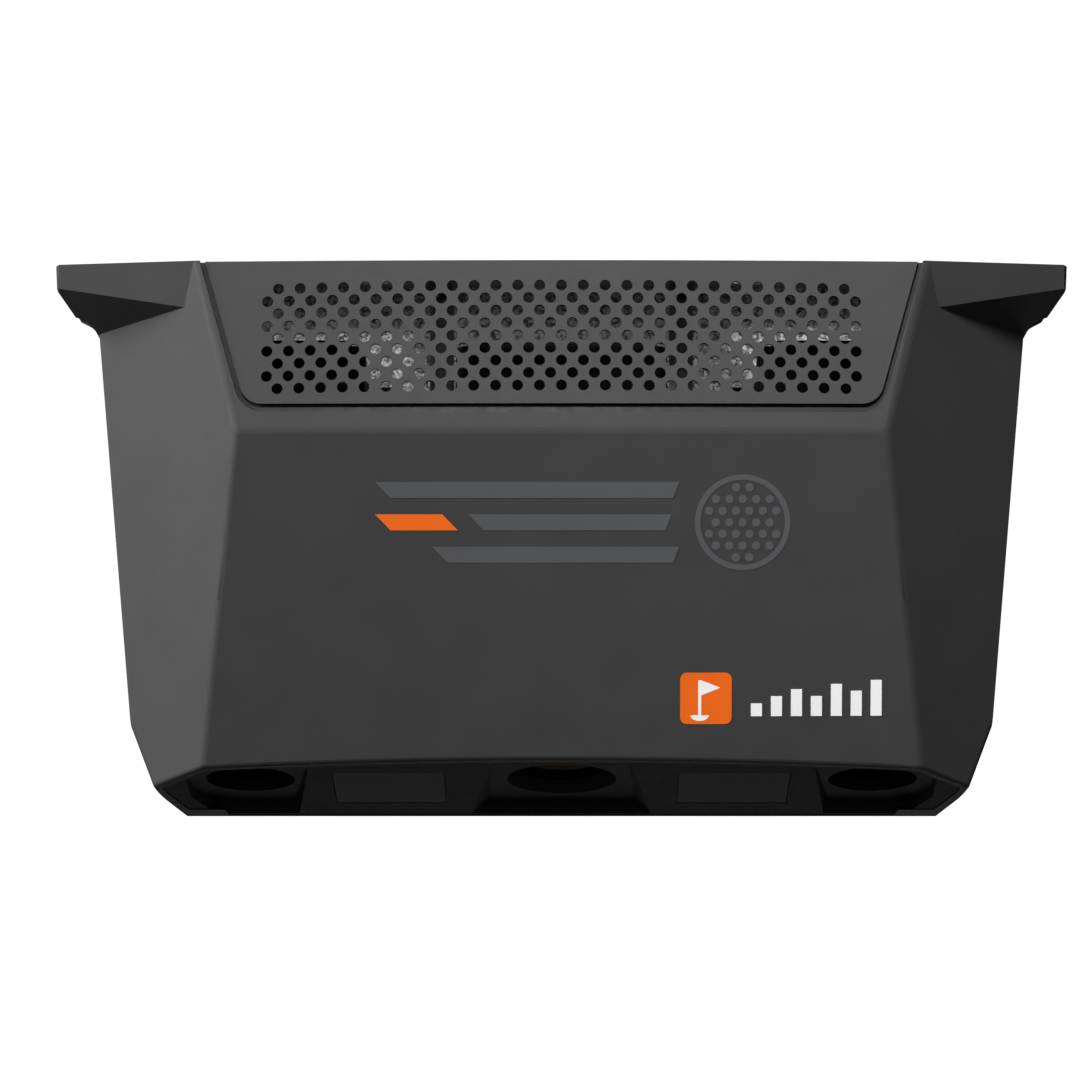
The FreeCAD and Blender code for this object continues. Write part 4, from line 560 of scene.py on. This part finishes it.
def badge():
    bm = bmesh.new()
    outline = []
    reach = BADGE_HALF - BADGE_CORNER
    for quarter, (side_x, side_z) in enumerate(((1, 1), (-1, 1), (-1, -1), (1, -1))):
        outline += ellipse(BADGE_X + side_x * reach, BADGE_Z + side_z * reach,
                           BADGE_CORNER, BADGE_CORNER,
                           [(quarter + k / 8) * math.pi / 2 for k in range(9)])
    patch(bm, outline, LIFT)
    put("badge_tile", bm, "housing", "housing_black", ORANGE_PRINT_PAINTED_GLOW)

    bm = bmesh.new()
    rectangle(bm, MAST_LEFT, MAST_RIGHT, BADGE_Z - 0.0068, BADGE_Z + 0.0070, TOP_LIFT)
    tile(bm, [(MAST_RIGHT, BADGE_Z + 0.0012), (PENNANT_TIP_X, BADGE_Z + 0.0040),
              (PENNANT_TIP_X, BADGE_Z + 0.0042), (MAST_RIGHT, BADGE_Z + 0.0070)], TOP_LIFT)
    # Half ellipse under the mast
    patch(bm, ellipse((MAST_LEFT + MAST_RIGHT) / 2, BADGE_Z - 0.0066, 0.0036, 0.0022,
                      [math.pi * (1 + k / 14) for k in range(15)]), TOP_LIFT)
    foot = BADGE_Z - 0.0070
    for i, height in enumerate(BAR_HEIGHTS):
        x = BAR_X + i * BAR_PITCH
        rectangle(bm, x, x + BAR_WIDTH, foot, foot + height, TOP_LIFT)
    put("badge_pictogram", bm, "housing", "housing_black", WHITE_PRINT_PAINTED_GLOW)


ball_mark()
badge()


# ---------------------------------------------------------------------------
# Lens details. place is the camera's chin frame; heights run inwards along the axis.
# ---------------------------------------------------------------------------
def window_seal(tag, place):
    """Rubber ring of round section."""
    radius, height, thickness = 0.0193, 0.01165, 0.0006
    angles = [2 * math.pi * i / 10 for i in range(10)]
    bm = bmesh.new()
    lathe(bm, ellipse(radius, height, thickness, thickness, angles), 64, place)
    put("window_seal_" + tag, bm, "housing", "cable_black", RUBBER)


def retaining_ring(tag, place):
    """Ring that holds the front lens."""
    bm = bmesh.new()
    lathe(bm, [(0.0128, 0.0186), (0.0149, 0.0186), (0.0149, 0.0196), (0.0137, 0.0205),
               (0.0128, 0.0199)], 72, place)
    put("retaining_ring_" + tag, bm, "lens_cell_" + tag, "lens_black")


def inner_lens(tag, place):
    """Lens element with a face bulging outwards and a flat back."""
    radius, rim, bulge, back = 0.0108, 0.0340, 0.0022, 0.0372
    profile = [(radius * i / 8, rim - bulge * (1 - (i / 8) ** 2)) for i in range(9)]
    bm = bmesh.new()
    lathe(bm, profile + [(radius, back), (0.0, back)], 48, place, closed=False)
    put("inner_lens_" + tag, bm, "lens_cell_" + tag, "lens_glass")


def iris(tag, place):
    """Nine overlapping blades, each set a little deeper than the last."""
    blades, thickness = 9, 0.00005
    bm = bmesh.new()
    for k in range(blades):
        start = 2 * math.pi * k / blades
        steps = [s / 6 for s in range(7)]
        # (radius, angle): along the outer edge, then back along the inner one
        outline = [(0.0106, start + t * 1.05) for t in steps]
        outline += [(0.0052 + 0.0016 * t, start + 0.30 + t * 0.85) for t in reversed(steps)]
        height = 0.0420 + 0.00006 * k
        low, high = ([bm.verts.new(place @ Vector((r * math.cos(a), r * math.sin(a), z)))
                      for r, a in outline] for z in (height, height + thickness))
        bm.faces.new(low)
        bm.faces.new(list(reversed(high)))
        for i in range(len(outline)):
            j = (i + 1) % len(outline)
            bm.faces.new((low[j], low[i], high[i], high[j]))
    put("iris_" + tag, bm, "lens_cell_" + tag, "lens_black", smooth=False)


def on_barrel(place, degrees, radius, height):
    turn = Matrix.Rotation(math.radians(degrees), 4, "Z")
    return place @ turn @ Matrix.Translation((radius, 0, height))


def focus_scale(tag, place):
    """Scale lines round the upper front side of the focus ring, every fourth longer."""
    bm = bmesh.new()
    for k in range(-8, 9):
        length = 0.0042 if k % 4 == 0 else 0.0024
        block(bm, (0.0002, 0.00035, length),
              on_barrel(place, -90 + k * 5.0, radius=0.02095, height=0.0425 + length / 2))
    put("focus_scale_" + tag, bm, "focus_ring_" + tag, "ring_black", WHITE_PRINT_PAINTED_GLOW, smooth=False)


def focus_index(tag, place):
    bm = bmesh.new()
    block(bm, (0.00015, 0.0005, 0.006), on_barrel(place, -90, radius=0.01902, height=0.0625))
    put("focus_index_" + tag, bm, "housing", "lens_black", ORANGE_PRINT_PAINTED_GLOW, smooth=False)


def sensor_die(tag, place):
    bm = bmesh.new()
    block(bm, (0.0152, 0.0112, 0.0003), place, centre=(0, 0, 0.10125))
    put("sensor_die_" + tag, bm, "housing", "ir_glass", smooth=False)


LENS_PARTS = (window_seal, retaining_ring, inner_lens, iris, focus_scale, focus_index,
              sensor_die)
for tag, camera_x in CAMERAS.items():
    for make_part in LENS_PARTS:
        make_part(tag, chin_frame(camera_x))

# ---------------------------------------------------------------------------
# Circuit-board parts, in millimetres; sizes are (width, height, thickness)
# ---------------------------------------------------------------------------
MAIN_BOARD_FRONT = 40.0     # y of the main board's front face
SENSOR_BOARD_BACK = 105.62  # local z of a sensor board's back face
PART_GAP = 0.6
MOST_PARTS = 331
PART_CHAMFER = 0.0002       # metres
CHIP_SIZES = [(7, 7, 1.2), (5, 4, 1.1), (9, 6, 1.3), (4, 4, 0.9)]
TIN_PART_SIZE = (3.0, 1.8, 1.2)
PASSIVE_SIZES = [(1.6, 0.8, 0.7), (0.8, 1.6, 0.7), (2.0, 1.25, 0.9), (1.0, 0.6, 0.5)]
SENSOR_BOARD_SIZES = [(1.6, 0.8, 0.7), (0.8, 1.6, 0.7), (2.0, 1.25, 0.9), (3.0, 3.0, 1.0)]
# Areas taken on the main board: x, z, half width, half height
taken = [
    (36, -49, 15, 11), (-38, -49, 15, 11), (0, -79, 23, 3), (74, -50, 5, 4),
    (-74, -50, 5, 4), (0, -57, 5, 4), (35, -93, 6, 4), (76, -22, 4, 4), (-76, -22, 4, 4),
    (76, -92, 4, 4), (-76, -92, 4, 4),
]
rng = random.Random(7)
chips, tins, ceramics = bmesh.new(), bmesh.new(), bmesh.new()


def is_free(x, z, w, h):
    return not any(abs(x - tx) < tw + w / 2 + PART_GAP and abs(z - tz) < th + h / 2 + PART_GAP
                   for tx, tz, tw, th in taken)


def add_chip(place, w, h, t):
    """A package with a row of pins along both long sides."""
    block(chips, mm(w, h, t), place, chamfer=PART_CHAMFER)
    pins = int(w / 0.8)
    for k in range(pins):
        for side in (-1, 1):
            block(tins, mm(0.3, 0.6, 0.3), place, centre=mm(
                -w / 2 + 0.5 + k * (w - 1) / (pins - 1), side * (h / 2 + 0.25), -t * 0.3))


def add_tin_part(place, w, h, t):
    block(tins, mm(w, h, t), place, chamfer=PART_CHAMFER)


def add_passive(place, w, h, t):
    """A ceramic body with a tinned cap at each end."""
    block(ceramics, mm(w * 0.6, h, t), place)
    for side in (-1, 1):
        block(tins, mm(w * 0.22, h * 1.02, t * 1.02), place, centre=mm(side * w * 0.4, 0, 0))


def main_board_parts():
    made = 0
    for _ in range(2600):
        kind = rng.random()
        if kind < 0.10:
            add_part, size = add_chip, rng.choice(CHIP_SIZES)
        elif kind < 0.2:
            add_part, size = add_tin_part, TIN_PART_SIZE
        else:
            add_part, size = add_passive, rng.choice(PASSIVE_SIZES)
        w, h, t = size
        x, z = rng.uniform(-79, 79), rng.uniform(-95, -19)
        if not is_free(x, z, w, h):
            continue
        taken.append((x, z, w / 2, h / 2))
        place = Matrix.Translation(mm(x, MAIN_BOARD_FRONT - t / 2, z))
        add_part(place @ Matrix.Rotation(math.pi / 2, 4, "X"), w, h, t)
        made += 1
        if made == MOST_PARTS:
            break


def sensor_board_parts(place):
    for _ in range(40):
        x, y = rng.uniform(-22, 22), rng.uniform(-13, 14)
        # Two areas stay clear
        if (-17 < x < -3 and -15 < y < -1) or (7 < x < 17 and 6 < y < 14):
            continue
        w, h, t = rng.choice(SENSOR_BOARD_SIZES)
        block(chips if w == 3.0 else ceramics, mm(w * 0.7, h, t), place,
              centre=mm(x, y, SENSOR_BOARD_BACK + t / 2))


def lamp_board_parts(place):
    for x in (-8, 0, 8):
        for y in (-0.5, 8.5):
            block(ceramics, mm(1.6, 0.8, 0.7), place, centre=mm(x, y, 14.0))
            block(chips, mm(3.0, 2.6, 0.9), place, centre=mm(x + 3, y + 2.5, 14.1))


def capacitor_cans():
    """Cans on the rear of the main board, each with a groove near its foot."""
    profile = [(0.0, 0.0), (0.0041, 0.0), (0.0043, 0.0008), (0.0040, 0.0014),
               (0.0043, 0.0020), (0.0043, 0.0086), (0.0038, 0.0093), (0.0, 0.0091)]
    bm = bmesh.new()
    for x in (56, 66, -56, -66):
        place = Matrix.Translation(mm(x, 41.6, -63)) @ Matrix.Rotation(-math.pi / 2, 4, "X")
        lathe(bm, profile, 32, place, closed=False)
    put("capacitor_cans", bm, "housing", "port_metal", CAN)


def lamp_domes():
    """Infrared lamps: four by three domes on each lamp board."""
    radius, height, foot, flange = 0.0015, 0.0016, 0.0006, 0.0017
    angles = [i / 5 * math.pi / 2 for i in range(6)]
    profile = [(radius * math.sin(a), -height * math.cos(a)) for a in angles]
    profile += [(flange, 0.0), (flange, foot), (0.0, foot)]
    bm = bmesh.new()
    for side in (-1, 1):
        for x in (-12, -4, 4, 12):
            for y in (-5, 4, 13):
                place = chin_frame(side * LAMP_BOARD_X) @ Matrix.Translation(mm(x, y, 9.6))
                lathe(bm, profile, 16, place, closed=False)
    put("lamp_domes", bm, "housing", "light_green", LAMP)


main_board_parts()
for camera_x in CAMERAS.values():
    sensor_board_parts(chin_frame(camera_x))
for side in (-1, 1):
    lamp_board_parts(chin_frame(side * LAMP_BOARD_X))
put("board_chips", chips, "housing", "board_black", CHIP, smooth=False)
put("board_solder", tins, "housing", "port_metal", TIN, smooth=False)
put("board_passives", ceramics, "housing", "board_black", CERAMIC, smooth=False)
capacitor_cans()
lamp_domes()

# ---------------------------------------------------------------------------
# Fan leads: three twisted wires on each side stand for the plain leads
# ---------------------------------------------------------------------------
WIRE_RADIUS = 0.00052
TWIST_RADIUS = 0.62     # millimetres
TWIST_STEP = 1.25       # radians per station
# Stations of the right-hand lead's middle line: x, y, z in millimetres
LEAD_PATH = [
    (87.9, 51.0, -60.0), (86.4, 51.0, -59.9), (84.7, 49.6, -58.9), (83.0, 47.0, -57.0),
    (81.4, 44.5, -55.1), (80.0, 43.1, -54.1), (78.1, 43.0, -54.0),
]


def fan_wire(colour, material, strand):
    bm = bmesh.new()
    for side in (1, -1):
        points = []
        for i, (x, y, z) in enumerate(LEAD_PATH):
            twist = i * TWIST_STEP + strand * 2 * math.pi / 3
            points.append(mm(side * x, y + TWIST_RADIUS * math.cos(twist),
                             z + TWIST_RADIUS * math.sin(twist)))
        sweep(bm, points, WIRE_RADIUS, segments=8)
    wire = put("fan_wire_" + colour, bm, "housing", "cable_black", material)
    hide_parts("fan_leads")


fan_wire("red", RED_WIRE, strand=-1)
fan_wire("yellow", YELLOW_WIRE, strand=0)
fan_wire("black", SLOT_MATERIAL["cable_black"], strand=1)


# ---------------------------------------------------------------------------
# Studio: pale floor far below, pale backdrop, soft lights, level camera
# ---------------------------------------------------------------------------
def stage_plane(name, corners, material):
    """A plane that the camera sees but that sends no light onto the product."""
    mesh = bpy.data.meshes.new(name)
    mesh.from_pydata(corners, [], [(0, 1, 2, 3)])
    obj = bpy.data.objects.new(name, mesh)
    bpy.context.scene.collection.objects.link(obj)
    mesh.materials.append(material)
    obj.visible_diffuse = False
    obj.visible_glossy = False
    return obj


# The floor glows a little so that it stays pale from every side
stage_plane("studio_floor", [(-7, -7, -2.7), (7, -7, -2.7), (7, 7, -2.7), (-7, 7, -2.7)],
            coated("studio_floor", (0.72, 0.72, 0.72), rough=0.8, grain=60.0, relief=0.02,
                   mottle=2.0, spread=0.02, glow=0.95))

WHITE = (1, 1, 1, 1)
BACKGROUND_STRENGTH = 1.05  # backdrop, and the world as the camera sees it
backdrop_look = Mat("studio_backdrop")
backdrop_look.show(backdrop_look.node("ShaderNodeEmission", {
    "Color": WHITE, "Strength": BACKGROUND_STRENGTH}).outputs["Emission"])
backdrop = stage_plane("studio_backdrop", [(-5, 2.4, -3), (5, 2.4, -3), (5, 2.4, 3),
                                           (-5, 2.4, 3)], backdrop_look.material)
backdrop.visible_transmission = False
backdrop.visible_shadow = False


def area_light(name, location, target, width, height, power):
    light = bpy.data.lights.new(name, "AREA")
    light.shape = "RECTANGLE"
    light.size = width
    light.size_y = height
    light.energy = power
    obj = bpy.data.objects.new(name, light)
    obj.location = location
    aim = Vector(target) - Vector(location)
    obj.rotation_euler = aim.to_track_quat("-Z", "Y").to_euler()
    bpy.context.scene.collection.objects.link(obj)
    return obj


area_light("key_left", location=(-1.70, -0.42, 0.85), target=(0, 0, -0.1),
           width=1.0, height=1.1, power=55)
front_top = area_light("front_top", location=(-0.15, -1.25, 0.85), target=(0.38, -0.1, -0.05),
                       width=0.35, height=0.3, power=2.1)
front_top.data.spread = math.radians(50)
back_fill = area_light("back_fill", location=(0.45, 1.9, 0.7), target=(0, 0, -0.1),
                       width=1.4, height=0.9, power=60)
under_fill = area_light("under_fill", location=(0.1, 0.8, -1.1), target=(0, 0, -0.2),
                        width=0.9, height=0.7, power=5)
for fill in (back_fill, under_fill):
    fill.visible_camera = False
    fill.visible_glossy = False


def studio_world():
    """White to the camera, dim to everything else."""
    world = bpy.data.worlds.new("studio_world")
    world.use_nodes = True
    nodes, links = world.node_tree.nodes, world.node_tree.links
    dim = nodes["Background"]
    seen = nodes.new("ShaderNodeBackground")
    for background, strength in ((dim, 0.045), (seen, BACKGROUND_STRENGTH)):
        background.inputs["Color"].default_value = WHITE
        background.inputs["Strength"].default_value = strength
    path = nodes.new("ShaderNodeLightPath")
    pick = nodes.new("ShaderNodeMixShader")
    links.new(path.outputs["Is Camera Ray"], pick.inputs["Fac"])
    links.new(dim.outputs["Background"], pick.inputs[1])
    links.new(seen.outputs["Background"], pick.inputs[2])
    links.new(pick.outputs["Shader"], nodes["World Output"].inputs["Surface"])
    bpy.context.scene.world = world


def studio_camera():
    """Level camera in front of the product, with a long lens."""
    camera = bpy.data.cameras.new("camera")
    camera.sensor_fit = "HORIZONTAL"
    camera.sensor_width = 36.0
    camera.lens = 129.933333
    camera.shift_x = -0.0199074074
    camera.clip_end = 50
    obj = bpy.data.objects.new("camera", camera)
    obj.location = (0, -1.609, -0.1093)
    obj.rotation_euler = (math.pi / 2, 0, 0)
    bpy.context.scene.collection.objects.link(obj)
    bpy.context.scene.camera = obj


studio_world()
studio_camera()
bpy.context.scene.view_settings.view_transform = "Standard"
